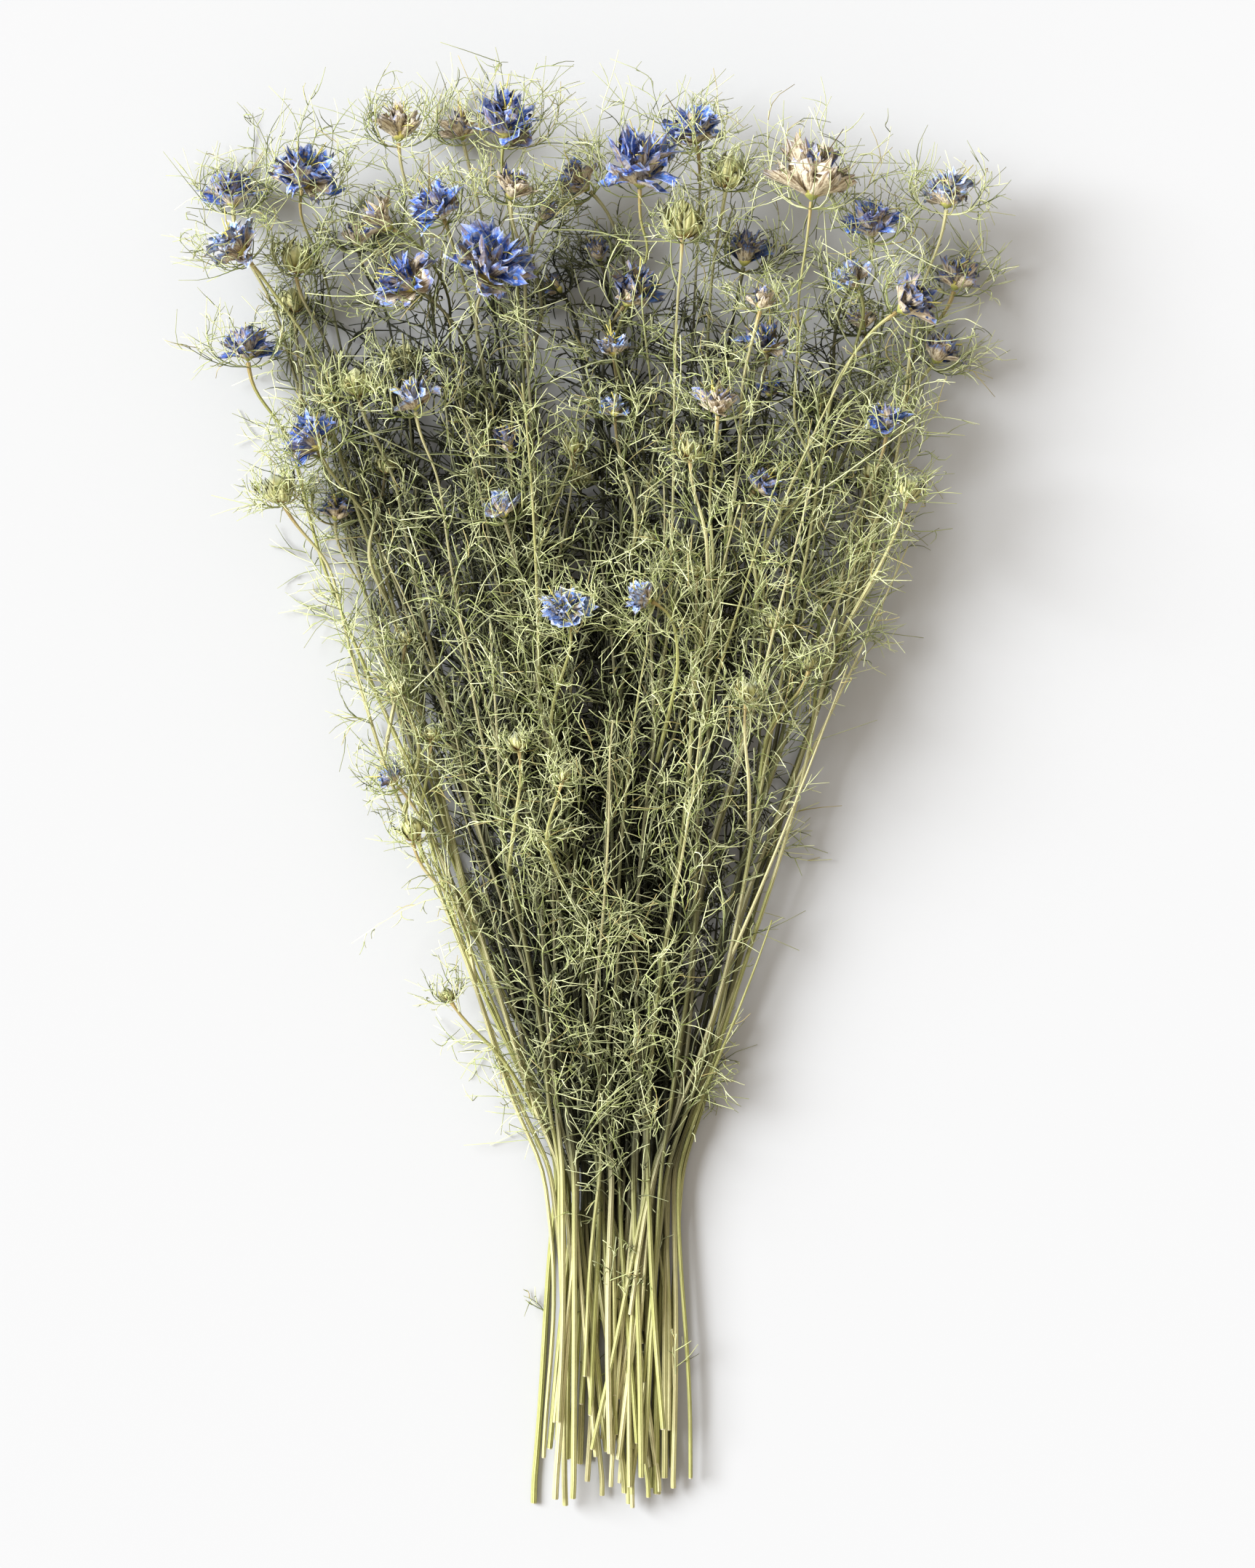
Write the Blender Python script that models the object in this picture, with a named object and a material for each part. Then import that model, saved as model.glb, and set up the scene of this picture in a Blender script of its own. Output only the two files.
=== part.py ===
"""A bunch of dried love-in-a-mist: cut stems gathered at a neck, lying on a flat surface.

Lengths below are in millimetres, and every mesh is scaled to metres when it is made.
The origin is on the surface, under the middle of the neck. +Y runs towards the heads and +Z is up.
Each bloom is a node. Stems come in sprays of three or four that are pressed together at the neck:
a spray's stems, side shoots, green buds and feathery leaves are one plant body and one node.
"""

import math

import bmesh
import bpy
import numpy as np
from mathutils import Matrix, Vector

MM = 0.001

# Driving dimensions of the bunch
CUT_END_Y = -134.0
CUT_END_SPREAD = 34.0
STEM_WIDTH = 2.5
STEM_TIP_WIDTH = 1.7
SHOOT_RADIUS = 0.9
SHOOT_TIP_RADIUS = 0.7
THREAD_RADIUS = 0.5
LEAVES_PER_STEM = 2
FULL_BLOOM = 20.5
SMALL_HEAD = 12.5
PETAL_THICKNESS = 0.9
PETAL_WAIST = 0.66
PETAL_FOLD = 0.06
TIER_HEIGHTS = (13.0, 25.0, 39.0, 53.0)

# The neck: sprays of each band side by side, one band lying on the next
BAND_TIERS = ((0, 1), (2,), (3,))
BAND_SPRAYS = (5, 6, 4)
BAND_PITCH = (11.0, 9.2, 12.5)
BAND_CUT_SHIFT = (-3.0, 5.0, -7.0)
BAND_STEP = 5.0
NECK_STEM_PITCH = 2.1
CUT_END_PITCH = 2.5

# Stations along Y where the stems are spaced apart
STATION_STEP = 18.0
STEM_GAP = 1.6
PATH_SLACK = 0.6
BLOOM_GAP = 2.0
SPACING_ROUNDS = 90
CLEARING_ROUNDS = 45
SHOOT_TRIES = 120
NECK_TOP_Y = 8.0
FLOOR_LIFT_RUN = 110.0

# A head: the petals reach 0.52 of its width from a centre that is 0.22 of it above the base
HEAD_REACH = 0.52
HEAD_CENTRE = 0.22
TOUCH_GAP = 0.3
TIP_RUN = 2.8
BRACT_DROP = 0.34
SEED = 11

# x, y, tier, width, facing (degrees from +Y towards +X), rise (degrees), finish, what it grows on
HEADS = (
    (-161, 413, 0, 24, 0, 5, "blue", "stem"),
    (-130, 418, 2, 28, 15, 40, "blue", "stem"),
    (-157, 389, 2, 24, -40, 25, "pale", "stem"),
    (-134, 383, 1, 14, 5, 10, "bud", "stem"),
    (-136, 367, 0, 12, -5, 5, "bud", "shoot"),
    (-154, 348, 1, 22, 0, 10, "blue", "stem"),
    (-109, 395, 0, 16, 0, 5, "cream", "stem"),
    (-108, 331, 2, 13, -5, 15, "bud", "stem"),
    (-126, 309, 2, 23, -25, 35, "blue", "stem"),
    (-84, 325, 3, 20, -5, 20, "pale", "stem"),
    (-140, 287, 2, 14, -20, 10, "bud", "stem"),
    (-118, 281, 0, 16, 10, 5, "navy", "stem"),
    (-91, 437, 2, 21, 0, 10, "cream", "stem"),
    (-66, 440, 0, 18, -10, 5, "cream", "stem"),
    (-47, 437, 3, 28, 5, 20, "blue", "stem"),
    (-96, 397, 2, 21, -55, 20, "cream", "stem"),
    (-88, 377, 2, 26, -55, 30, "blue", "stem"),
    (-73, 402, 3, 23, -30, 35, "blue", "stem"),
    (-54, 380, 3, 35, 25, 45, "blue", "stem"),
    (-44, 411, 3, 19, 10, 20, "cream", "stem"),
    (-31, 404, 1, 13, 40, 5, "navy", "shoot"),
    (-16, 417, 1, 21, -50, 10, "navy", "stem"),
    (9, 418, 3, 34, 0, 25, "blue", "stem"),
    (31, 436, 2, 23, -10, 25, "blue", "stem"),
    (44, 417, 2, 15, 5, 5, "bud", "stem"),
    (25, 396, 3, 18, 0, 5, "bud", "stem"),
    (79, 414, 3, 33, 5, 5, "cream", "stem"),
    (135, 410, 2, 23, 5, 10, "pale", "stem"),
    (103, 395, 2, 23, 0, 25, "blue", "stem"),
    (97, 378, 2, 19, -35, 20, "pale", "stem"),
    (140, 378, 0, 20, 10, 5, "navy", "stem"),
    (118, 364, 3, 24, 60, 10, "navy", "stem"),
    (100, 359, 1, 14, -20, 10, "cream", "shoot"),
    (133, 347, 0, 20, 35, 5, "navy", "stem"),
    (52, 387, 1, 21, 10, 15, "navy", "stem"),
    (58, 365, 3, 14, 10, 10, "cream", "stem"),
    (60, 349, 2, 20, -15, 40, "navy", "stem"),
    (62, 331, 1, 12, 10, 20, "blue", "shoot"),
    (-9, 389, 0, 15, -20, 5, "navy", "stem"),
    (5, 369, 2, 25, 40, 25, "navy", "stem"),
    (-3, 347, 2, 16, -10, 20, "pale", "stem"),
    (-26, 375, 0, 13, -40, 5, "navy", "shoot"),
    (40, 323, 3, 19, 0, 15, "cream", "stem"),
    (29, 303, 3, 10, 5, 10, "bud", "shoot"),
    (58, 291, 2, 15, 50, 20, "blue", "shoot"),
    (110, 317, 2, 17, 0, 20, "blue", "stem"),
    (84, 325, 0, 11, 0, 5, "bud", "shoot"),
    (118, 287, 3, 11, 12, 5, "bud", "shoot"),
    (-46, 308, 2, 16, 0, 20, "navy", "stem"),
    (-48, 281, 2, 17, -10, 20, "pale", "stem"),
    (-2, 322, 2, 14, 0, 20, "pale", "shoot"),
    (-19, 306, 2, 7, 0, 15, "bud", "shoot"),
    (-22, 238, 3, 20, -20, 50, "pale", "shoot"),
    (10, 244, 3, 16, -70, 20, "pale", "shoot"),
    (12, 268, 1, 10, 0, 10, "bud", "shoot"),
    (-26, 213, 1, 9, -20, 10, "bud", "shoot"),
    (-94, 170, 1, 14, -40, 10, "pale", "shoot"),
    (-86, 147, 1, 12, -5, 5, "bud", "shoot"),
    (-89, 228, 1, 6, 0, 10, "bud", "shoot"),
    (-92, 207, 1, 7, -30, 10, "bud", "shoot"),
    (-71, 80, 1, 6, -25, 5, "bud", "shoot"),
    (52, 204, 3, 9, 10, 15, "bud", "shoot"),
    (78, 217, 2, 6, 0, 10, "bud", "shoot"),
    (63, 234, 2, 7, 0, 10, "bud", "shoot"),
    (45, 232, 1, 6, 5, 10, "bud", "shoot"),
    (-23, 171, 3, 6, 15, 15, "bud", "shoot"),
    (-42, 184, 2, 8, -15, 10, "bud", "shoot"),
    (-78, 188, 1, 7, 0, 10, "bud", "shoot"),
    (-97, 299, 1, 9, 5, 10, "bud", "shoot"),
    (-90, 343, 1, 11, 5, 10, "bud", "shoot"),
    (-16, 294, 1, 9, 10, 10, "bud", "shoot"),
    (104, 296, 1, 9, 0, 10, "bud", "shoot"),
    (32, 255, 2, 7, 5, 10, "bud", "shoot"),
)

GREEN = (0.42, 0.45, 0.17)
FINISH_COLOURS = {
    "blue": (0.09, 0.16, 0.62),
    "navy": (0.05, 0.08, 0.30),
    "pale": (0.36, 0.45, 0.70),
    "cream": (0.66, 0.55, 0.36),
}


def unit(vector):
    """The vector at a length of 1."""
    return vector / max(np.linalg.norm(vector), 1e-9)


def head_axis(facing, rise):
    """The way a head faces: turned from +Y towards +X, then lifted off the surface."""
    turn, lift = math.radians(facing), math.radians(rise)
    flat = math.cos(lift)
    return np.array([math.sin(turn) * flat, math.cos(turn) * flat, math.sin(lift)])


def read_heads():
    """The table as a list of dictionaries, with each head's height from its tier."""
    heads = []
    for x, y, tier, width, facing, rise, finish, grows_on in HEADS:
        centre = np.array([x, y, max(TIER_HEIGHTS[tier], HEAD_REACH * width + 1.5)], float)
        heads.append({
            "centre": centre, "tier": tier, "width": float(width), "axis": head_axis(facing, rise),
            "finish": finish, "own_stem": grows_on == "stem",
        })
    return heads


def space_heads(heads):
    """Moves heads that would touch apart, mostly in height, and finds each head's base."""
    centres = np.array([head["centre"] for head in heads])
    reach = np.array([HEAD_REACH * head["width"] for head in heads])
    floor = reach + 1.5
    ease = np.array([0.25, 0.25, 1.0])
    for _ in range(SPACING_ROUNDS):
        apart = centres[:, None] - centres[None]
        distance = np.linalg.norm(apart, axis=2) + np.eye(len(heads)) * 1e6
        short = np.clip(reach[:, None] + reach[None] + BLOOM_GAP - distance, 0, None)
        centres += ((apart / distance[..., None]) * short[..., None] * 0.4).sum(axis=1) * ease
        centres[:, 2] = np.maximum(centres[:, 2], floor)
    for head, centre in zip(heads, centres):
        head["centre"] = centre
        head["base"] = centre - head["axis"] * HEAD_CENTRE * head["width"]


def gather_sprays(heads):
    """Sorts the heads that have their own stem into sprays, by band and by angle from the neck."""
    sprays = []
    for band, tiers in enumerate(BAND_TIERS):
        members = [h for h in heads if h["own_stem"] and h["tier"] in tiers]
        members.sort(key=lambda h: math.atan2(h["base"][0], h["base"][1]))
        count = BAND_SPRAYS[band]
        for place in range(count):
            low = round(place * len(members) / count)
            high = round((place + 1) * len(members) / count)
            sprays.append({"band": band, "place": place, "heads": members[low:high], "pieces": []})
    return sprays


def stem_radius(y, tip_y):
    """Half of a stem's width across its corners: it tapers evenly from the cut end to the head."""
    share = np.clip((y - CUT_END_Y) / (tip_y - CUT_END_Y), 0, 1)
    return (STEM_WIDTH + (STEM_TIP_WIDTH - STEM_WIDTH) * share) / math.sqrt(2)


def lay_stems(sprays, heads, rng):
    """Gives every stem its line over the stations: a fan above the neck, close together below it."""
    stations = NECK_TOP_Y + STATION_STEP * np.arange(-8, 26)
    stems = []
    for number, spray in enumerate(sprays):
        band = spray["band"]
        middle = (spray["place"] - (BAND_SPRAYS[band] - 1) / 2) * BAND_PITCH[band]
        for place, head in enumerate(spray["heads"]):
            step = place - (len(spray["heads"]) - 1) / 2
            neck_x = middle + step * NECK_STEM_PITCH
            approach = head["base"] - head["axis"] * 0.8 * head["width"]
            approach[2] = max(approach[2], STEM_WIDTH / 2 + 0.5)
            share = np.clip((stations - NECK_TOP_Y) / (approach[1] - NECK_TOP_Y), 0, 1)
            wave = rng.uniform(-8, 8) * np.sin(stations / rng.uniform(50, 80) + rng.uniform(0, 6))
            below = np.clip(stations / CUT_END_Y, 0, 1)
            x = neck_x + (approach[0] - neck_x) * share ** 0.94
            x += wave * share * (1 - share) * 2
            x += (BAND_CUT_SHIFT[band] + step * (CUT_END_PITCH - NECK_STEM_PITCH)) * below
            radii = stem_radius(stations, head["base"][1])
            if band == 0:
                share = np.clip(1 - (approach[1] - stations) / FLOOR_LIFT_RUN, 0, 1)
            neck_z = radii / math.sqrt(2) + band * BAND_STEP
            z = neck_z + (approach[2] - neck_z) * share**1.35
            stem = {
                "spray": number, "head": head, "line": np.stack([x, z], axis=1),
                "last": int(np.searchsorted(stations, approach[1] - 6.0)),
                "radii": radii,
                "cut_y": CUT_END_Y + rng.uniform(0, CUT_END_SPREAD),
            }
            head["stem"] = stem
            stems.append(stem)
    stems[len(stems) // 2]["cut_y"] = CUT_END_Y
    space_stems(stems, stations, heads)
    for stem in stems:
        finish_stem(stem, stations)
    clear_paths(stems, heads)
    for stem in stems:
        keep = thin_out(stem["path"][:-1]) + [len(stem["path"]) - 1]
        stem["path"], stem["radii"] = stem["path"][keep], stem["radii"][keep]
    return stems


def space_stems(stems, stations, heads):
    """Pushes stems apart where they would touch, and clear of other heads, above the neck."""
    lines = np.stack([stem["line"] for stem in stems])
    radii = np.stack([stem["radii"] for stem in stems])
    spray = np.array([stem["spray"] for stem in stems])
    last = np.array([stem["last"] for stem in stems])
    other = spray[:, None] != spray[None]
    own_head = np.array([[stem["head"] is head for head in heads] for stem in stems])
    free = [j for j, y in enumerate(stations) if y > NECK_TOP_Y + 1.0]
    for turn in range(SPACING_ROUNDS):
        for j in free:
            here = np.where(last > j)[0]
            spots, wide = lines[here, j], radii[here, j]
            apart = spots[:, None] - spots[None]
            distance = np.linalg.norm(apart, axis=2) + np.eye(len(here)) * 1e6
            needed = (wide[:, None] + wide[None] + STEM_GAP) * other[np.ix_(here, here)]
            short = np.clip(needed - distance, 0, None)
            push = (apart / distance[..., None] * short[..., None] * 0.5).sum(axis=1)
            for k, head in enumerate(heads):
                reach = HEAD_REACH * head["width"] + BLOOM_GAP + STEM_WIDTH / 2
                along = stations[j] - head["centre"][1]
                if abs(along) >= reach:
                    continue
                away = spots - head["centre"][[0, 2]]
                gap = np.linalg.norm(away, axis=1) + 1e-6
                deep = np.clip(math.sqrt(reach**2 - along**2) - gap, 0, None) * ~own_head[here, k]
                push += away / gap[:, None] * deep[:, None] * 0.8
            lines[here, j] += push
        if turn < SPACING_ROUNDS - 12:
            bend = lines[:, :-2] + lines[:, 2:] - 2 * lines[:, 1:-1]
            lines[:, free[0]:-1] += 0.16 * bend[:, free[0] - 1:]
        lines[:, :, 1] = np.maximum(lines[:, :, 1], radii / math.sqrt(2))
    for stem, line in zip(stems, lines):
        stem["line"] = line


def finish_stem(stem, stations):
    """A stem's path in space: cut end, stations, and a short straight run square to the head."""
    first = int(np.searchsorted(stations, stem["cut_y"] + 5.0))
    end = stem["line"][max(first - 1, 0)]
    path = [[end[0], stem["cut_y"], end[1]]]
    path += [[stem["line"][j][0], stations[j], stem["line"][j][1]] for j in range(first, stem["last"])]
    head = stem["head"]
    for back in (0.45 * head["width"], TIP_RUN, TOUCH_GAP):
        path.append(head["base"] - head["axis"] * back)
    stem["path"] = np.array(path)
    stem["radii"] = stem_radius(stem["path"][:, 1], head["base"][1])
    stem["path"][0, 2] = stem["path"][1, 2] + (stem["radii"][0] - stem["radii"][1]) / math.sqrt(2)


def clear_paths(stems, heads):
    """Pushes runs of stem clear of the heads and of other sprays' stems, all but their tips and necks."""
    centres = np.array([head["centre"] for head in heads])
    reaches = np.array([HEAD_REACH * head["width"] for head in heads])
    owners = np.concatenate([[stem["spray"]] * (len(stem["path"]) - 1) for stem in stems])
    own_head = [np.array([stem["head"] is head for head in heads]) for stem in stems]
    for _ in range(CLEARING_ROUNDS):
        starts = np.concatenate([stem["path"][:-1] for stem in stems])
        ends = np.concatenate([stem["path"][1:] for stem in stems])
        radii = np.concatenate([stem["radii"][:-1] for stem in stems])
        for number, stem in enumerate(stems):
            path, push = stem["path"], np.zeros_like(stem["path"])
            others = owners != stem["spray"]
            for i in range(len(path) - 1):
                if path[i + 1][1] < NECK_TOP_Y:
                    continue
                wide = stem["radii"][i]
                runs = closest(path[i], path[i + 1], starts[others], ends[others])
                balls = closest(path[i], path[i + 1], centres, centres)
                needed = np.where(own_head[number], 0, reaches + wide + STEM_GAP)
                for (gap, share, away), need, ease in ((runs, radii[others] + wide + STEM_GAP, 0.5),
                                                       (balls, needed, 0.8)):
                    step = away * (np.clip(need - gap, 0, None) * ease / np.maximum(gap, 0.01))[:, None]
                    push[i] += (step * (1 - share)[:, None]).sum(axis=0)
                    push[i + 1] += (step * share[:, None]).sum(axis=0)
            push[path[:, 1] < NECK_TOP_Y + 1.0] = 0
            push[-2:] = 0
            push[-3] *= 0.5
            path += push
            path[:, 2] = np.maximum(path[:, 2], stem["radii"] / math.sqrt(2))


def closest(a0, a1, b0, b1):
    """How near one straight run, a0 to a1, comes to many, b0 to b1: the distances, where along the
    first run each is, and the ways from the others to it."""
    d1, d2, r = a1 - a0, b1 - b0, a0 - b0
    a, e, f = d1 @ d1, (d2 * d2).sum(1) + 1e-9, (d2 * r).sum(1)
    c, b = r @ d1, d2 @ d1
    s = np.clip((b * f - c * e) / np.maximum(a * e - b * b, 1e-6), 0, 1)
    t = np.clip((b * s + f) / e, 0, 1)
    s = np.clip((b * t - c) / max(a, 1e-9), 0, 1)
    away = (a0 + s[:, None] * d1) - (b0 + t[:, None] * d2)
    return np.linalg.norm(away, axis=1), s, away


class Room:
    """What is already in place: straight runs of stem and thread, and the balls that hold the heads."""

    def __init__(self, heads):
        self.starts, self.ends, self.radii, self.owners = [], [], [], []
        self.centres = np.array([head["centre"] for head in heads])
        self.reaches = np.array([HEAD_REACH * head["width"] for head in heads])

    def add(self, path, radii, owner):
        """Takes up the room along a path."""
        for a, b, r in zip(path[:-1], path[1:], radii):
            self.starts.append(a)
            self.ends.append(b)
            self.radii.append(r)
            self.owners.append(owner)
        lists = (self.starts, self.ends, self.radii, self.owners)
        self.arrays = tuple(np.array(values) for values in lists)

    def spare(self, path, radius, ignore=(), own_head=None, gap=0.45):
        """The smallest gap left round a path, less the gap it needs. Owners in ignore may touch it."""
        starts, ends, radii, owners = self.arrays
        others = ~np.isin(owners, list(ignore))
        least = min(point[2] for point in path) - radius - 0.1
        for a, b in zip(path[:-1], path[1:]):
            if others.any():
                runs = closest(a, b, starts[others], ends[others])[0] - radii[others]
                least = min(least, runs.min() - radius - gap)
            balls = closest(a, b, self.centres, self.centres)[0] - self.reaches - radius - gap
            if own_head is not None:
                balls[own_head] = 1e3
            least = min(least, balls.min())
        return least


def forks_below(head, stems):
    """The three nearest stems that a side shoot to this head could leave, and the points where it would."""
    fork_y = head["base"][1] - 40.0 - 1.6 * head["width"]
    forks = []
    for number, stem in enumerate(stems):
        path = stem["path"]
        if path[1][1] < fork_y < path[-2][1] - 10.0:
            point = np.array([np.interp(fork_y, path[:, 1], path[:, i]) for i in range(3)])
            forks.append((np.linalg.norm(point - head["base"]), number, point))
    return sorted(forks, key=lambda found: found[0])[:3]


def grow_shoots(heads, stems, room, rng):
    """Side shoots: each forks from a stem near below its head, by the way that leaves the most room."""
    for number, head in enumerate(heads):
        if head["own_stem"]:
            continue
        neck = head["base"] - head["axis"] * (4.0 + 0.4 * head["width"])
        end = head["base"] - head["axis"] * TOUCH_GAP
        forks = forks_below(head, stems)
        most = -np.inf
        for attempt in range(SHOOT_TRIES):
            _, carrier, fork_point = forks[attempt % len(forks)]
            middle = (fork_point + neck) / 2 + [rng.uniform(-9, 9), rng.uniform(-8, 8), rng.uniform(-6, 14)]
            middle[2] = max(middle[2], 1.5)
            path = np.array([fork_point, middle, neck, end])
            spare = room.spare(path, SHOOT_RADIUS, (f"stem {carrier}",), number)
            if spare > most:
                most, head["path"], head["on_stem"] = spare, path, carrier
            if spare > 0:
                break
        room.add(head["path"], [SHOOT_RADIUS] * 3, f"shoot {number}")


def thin_out(path):
    """The places in a path that it needs to stay within the slack of where it was."""
    if len(path) < 3:
        return [0, len(path) - 1]
    away = np.array([closest(p, p, path[:1], path[-1:])[0][0] for p in path[1:-1]])
    worst = int(away.argmax()) + 1
    if away.max() < PATH_SLACK:
        return [0, len(path) - 1]
    return thin_out(path[:worst + 1])[:-1] + [worst + i for i in thin_out(path[worst:])]


def sweep(path, radii, sides):
    """A mesh swept along a path: a ring of corners square to the path at each point, or one corner
    where the radius is 0. It tapers and has a flat side down, which a curve's bevel doesn't give."""
    bm = bmesh.new()
    path = [Vector(p) for p in path]
    tangent = (path[1] - path[0]).normalized()
    across = tangent.cross(Vector((0, 0, 1)))
    if across.length < 0.2:
        across = tangent.cross(Vector((1, 0, 0)))
    across.normalize()
    rings = []
    for i, (point, radius) in enumerate(zip(path, radii)):
        after = (path[min(i + 1, len(path) - 1)] - path[max(i, 1) - 1]).normalized()
        across = (tangent.rotation_difference(after) @ across).normalized()
        tangent = after
        up = across.cross(tangent)
        if radius <= 0:
            rings.append([bm.verts.new(point)])
            continue
        angles = [math.pi * (2 * k + 1) / sides - math.pi / 2 for k in range(sides)]
        spokes = [across * math.cos(angle) + up * math.sin(angle) for angle in angles]
        rings.append([bm.verts.new(point + spoke * radius) for spoke in spokes])
    for lower, upper in zip(rings[:-1], rings[1:]):
        for k in range(sides):
            corners = [lower[k], lower[(k + 1) % sides], upper[(k + 1) % len(upper)], upper[k % len(upper)]]
            bm.faces.new(corners if len(upper) > 1 else corners[:3])
    bm.faces.new(rings[0])
    if len(rings[-1]) > 1:
        bm.faces.new(rings[-1])
    bmesh.ops.recalc_face_normals(bm, faces=bm.faces)
    return bm


def petal(root, axis, turn, tilt, length, width):
    """A petal: a two-coned, three-sided ball drawn out into a folded blade, broadest near its tip."""
    side = unit(np.cross(axis, [0.31, 0.2, 0.93]))
    radial = side * math.cos(turn) + np.cross(axis, side) * math.sin(turn)
    along = axis * math.cos(tilt) + radial * math.sin(tilt)
    outward = radial * math.cos(tilt) - axis * math.sin(tilt)
    sideways = np.cross(along, outward)
    bm = bmesh.new()
    bmesh.ops.create_uvsphere(bm, u_segments=3, v_segments=2, radius=1.0)
    for vert in bm.verts:
        share = (vert.co.z + 1) / 2
        if abs(vert.co.z) < 0.5:
            share = PETAL_WAIST
        lift = PETAL_FOLD * length * math.sin(math.pi * share)
        spot = root + along * share * length + sideways * vert.co.y * width * 0.58
        vert.co = Vector(spot + outward * (vert.co.x * PETAL_THICKNESS + lift))
    bmesh.ops.recalc_face_normals(bm, faces=bm.faces)
    return bm


def bloom_pieces(head, rng):
    """A bloom's solids: its core, an open outer ring of petals and a closer inner one."""
    width, axis, base = head["width"], head["axis"], head["base"]
    pieces = [sweep([base, base + axis * 0.45 * width], [0.15 * width, 0.0], 4)]
    full = width > FULL_BLOOM
    rings = ((5 if full else 4, 64, 0.50, 0.46), (3 if full else 2, 28, 0.44, 0.36))
    for ring, (count, tilt, length, breadth) in enumerate(rings):
        for k in range(count):
            turn = 2 * math.pi * (k + 0.5 * ring) / count + rng.uniform(-0.12, 0.12)
            lean = math.radians(tilt + rng.uniform(-5, 5))
            root = base + axis * (0.10 + 0.04 * ring) * width
            pieces.append(petal(root, axis, turn, lean, length * width, breadth * width))
    return pieces


def bud_piece(head):
    """A closed bud: a low ball, drawn up to a blunt point along its axis."""
    bm = bmesh.new()
    bmesh.ops.create_icosphere(bm, subdivisions=1, radius=head["width"] / 2)
    turn = Vector((0, 0, 1)).rotation_difference(Vector(head["axis"]))
    for vert in bm.verts:
        vert.co.z *= 1.08
        vert.co = turn @ vert.co + Vector(head["centre"])
    return bm


def fork(root, tip, outward, count, share, spread, rng):
    """Threads that leave a rib between its root and tip, to either side, and run forwards."""
    rib = tip - root
    side = unit(np.cross(rib, outward))
    threads = []
    for k in range(count):
        start = root + rib * (0.35 + 0.5 * (k + 0.5) / count)
        way = unit(unit(rib) + side * spread * (1 if k % 2 else -1) + outward * rng.uniform(-0.1, 0.6))
        threads.append((start, start + way * np.linalg.norm(rib) * share * rng.uniform(0.8, 1.2)))
    return threads


def add_threads(spray, room, rng, line, outward, carrier, own_head, side_threads):
    """Adds one divided leaf or bract where there is room: a rib of two runs, then the threads on it."""
    root, knee, tip = line
    radii = [THREAD_RADIUS * 1.25, THREAD_RADIUS * 1.1, 0.0]
    for share in (1.0, 0.7, 0.4):
        path = np.array([root, knee, knee + (tip - knee) * share])
        clear = path.copy()
        clear[0] = path[0] * 0.86 + path[1] * 0.14
        if room.spare(clear, radii[0], (carrier,), own_head) > 0:
            break
    else:
        return []
    spray["pieces"].append(sweep(path, radii, 3))
    taken = [(path, radii)]
    for start, end in fork(path[1], path[2], outward, side_threads, 0.75, 0.85, rng):
        lifted = start * 0.8 + end * 0.2
        if room.spare(np.array([lifted, end]), THREAD_RADIUS, (carrier,), own_head) > 0:
            spray["pieces"].append(sweep([start, end], [THREAD_RADIUS, 0.0], 3))
            taken.append((np.array([start, end]), [THREAD_RADIUS]))
    return taken


def walk_back(path, distance):
    """The point on a path at a distance back from its end."""
    for end, start in zip(path[:0:-1], path[-2::-1]):
        run = np.linalg.norm(end - start)
        if distance <= run:
            return end + (start - end) * distance / run
        distance -= run
    return path[0]


def dress_head(spray, head, number, room, rng):
    """The mist round a head: bracts that leave the stem under it, pass the petals and run on beyond."""
    width, axis, base = head["width"], head["axis"], head["base"]
    side = unit(np.cross(axis, [0.1, 0.3, 0.95]))
    count = 5 if width > FULL_BLOOM else 4 if width > SMALL_HEAD else 3
    root = walk_back(head["path"], BRACT_DROP * width)
    for k in range(count):
        turn = 2 * math.pi * k / count + rng.uniform(-0.3, 0.3)
        radial = side * math.cos(turn) + np.cross(axis, side) * math.sin(turn)
        reach = 0.5 * width + 3.5
        knee = base + radial * reach + axis * 0.04 * width
        onward = axis * (0.65 * width + rng.uniform(4, 12))
        tip = knee + radial * rng.uniform(0, 0.25) * width + onward
        side_threads = 1 if width > FULL_BLOOM and k == 0 else 0
        line = (root, knee, tip)
        for path, radii in add_threads(spray, room, rng, line, radial, head["carrier"], number, side_threads):
            room.add(path, radii, f"bract {number} {k}")


def dress_stem(spray, stem, number, room, rng):
    """Feathery leaves up a stem, thicker in the upper half, each a bent rib with threads."""
    path = stem["path"]
    length = path[-1][1]
    for k in range(LEAVES_PER_STEM):
        y = length * (0.10 + 0.72 * ((k + rng.uniform(0.1, 0.9)) / LEAVES_PER_STEM) ** 0.8)
        root = np.array([np.interp(y, path[:, 1], path[:, i]) for i in range(3)])
        turn = rng.uniform(0, 2 * math.pi)
        outward = np.array([math.cos(turn), 0.0, abs(math.sin(turn)) * 0.8 + 0.1])
        knee = root + outward * 8.0 + np.array([0.0, 9.0, 0.0])
        tip = knee + outward * rng.uniform(3, 8) + np.array([0.0, rng.uniform(12, 20), 0.0])
        line = (root, knee, tip)
        leaf = add_threads(spray, room, rng, line, unit(outward), f"stem {number}", None, 1 if k else 0)
        for run, radii in leaf:
            room.add(run, radii, f"leaf {number} {k}")


def plain_material(name, colour, roughness):
    """A Principled material of one colour."""
    material = bpy.data.materials.new(name)
    material.use_nodes = True
    shader = material.node_tree.nodes["Principled BSDF"]
    shader.inputs["Base Color"].default_value = (*colour, 1.0)
    shader.inputs["Roughness"].default_value = roughness
    return material


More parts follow.
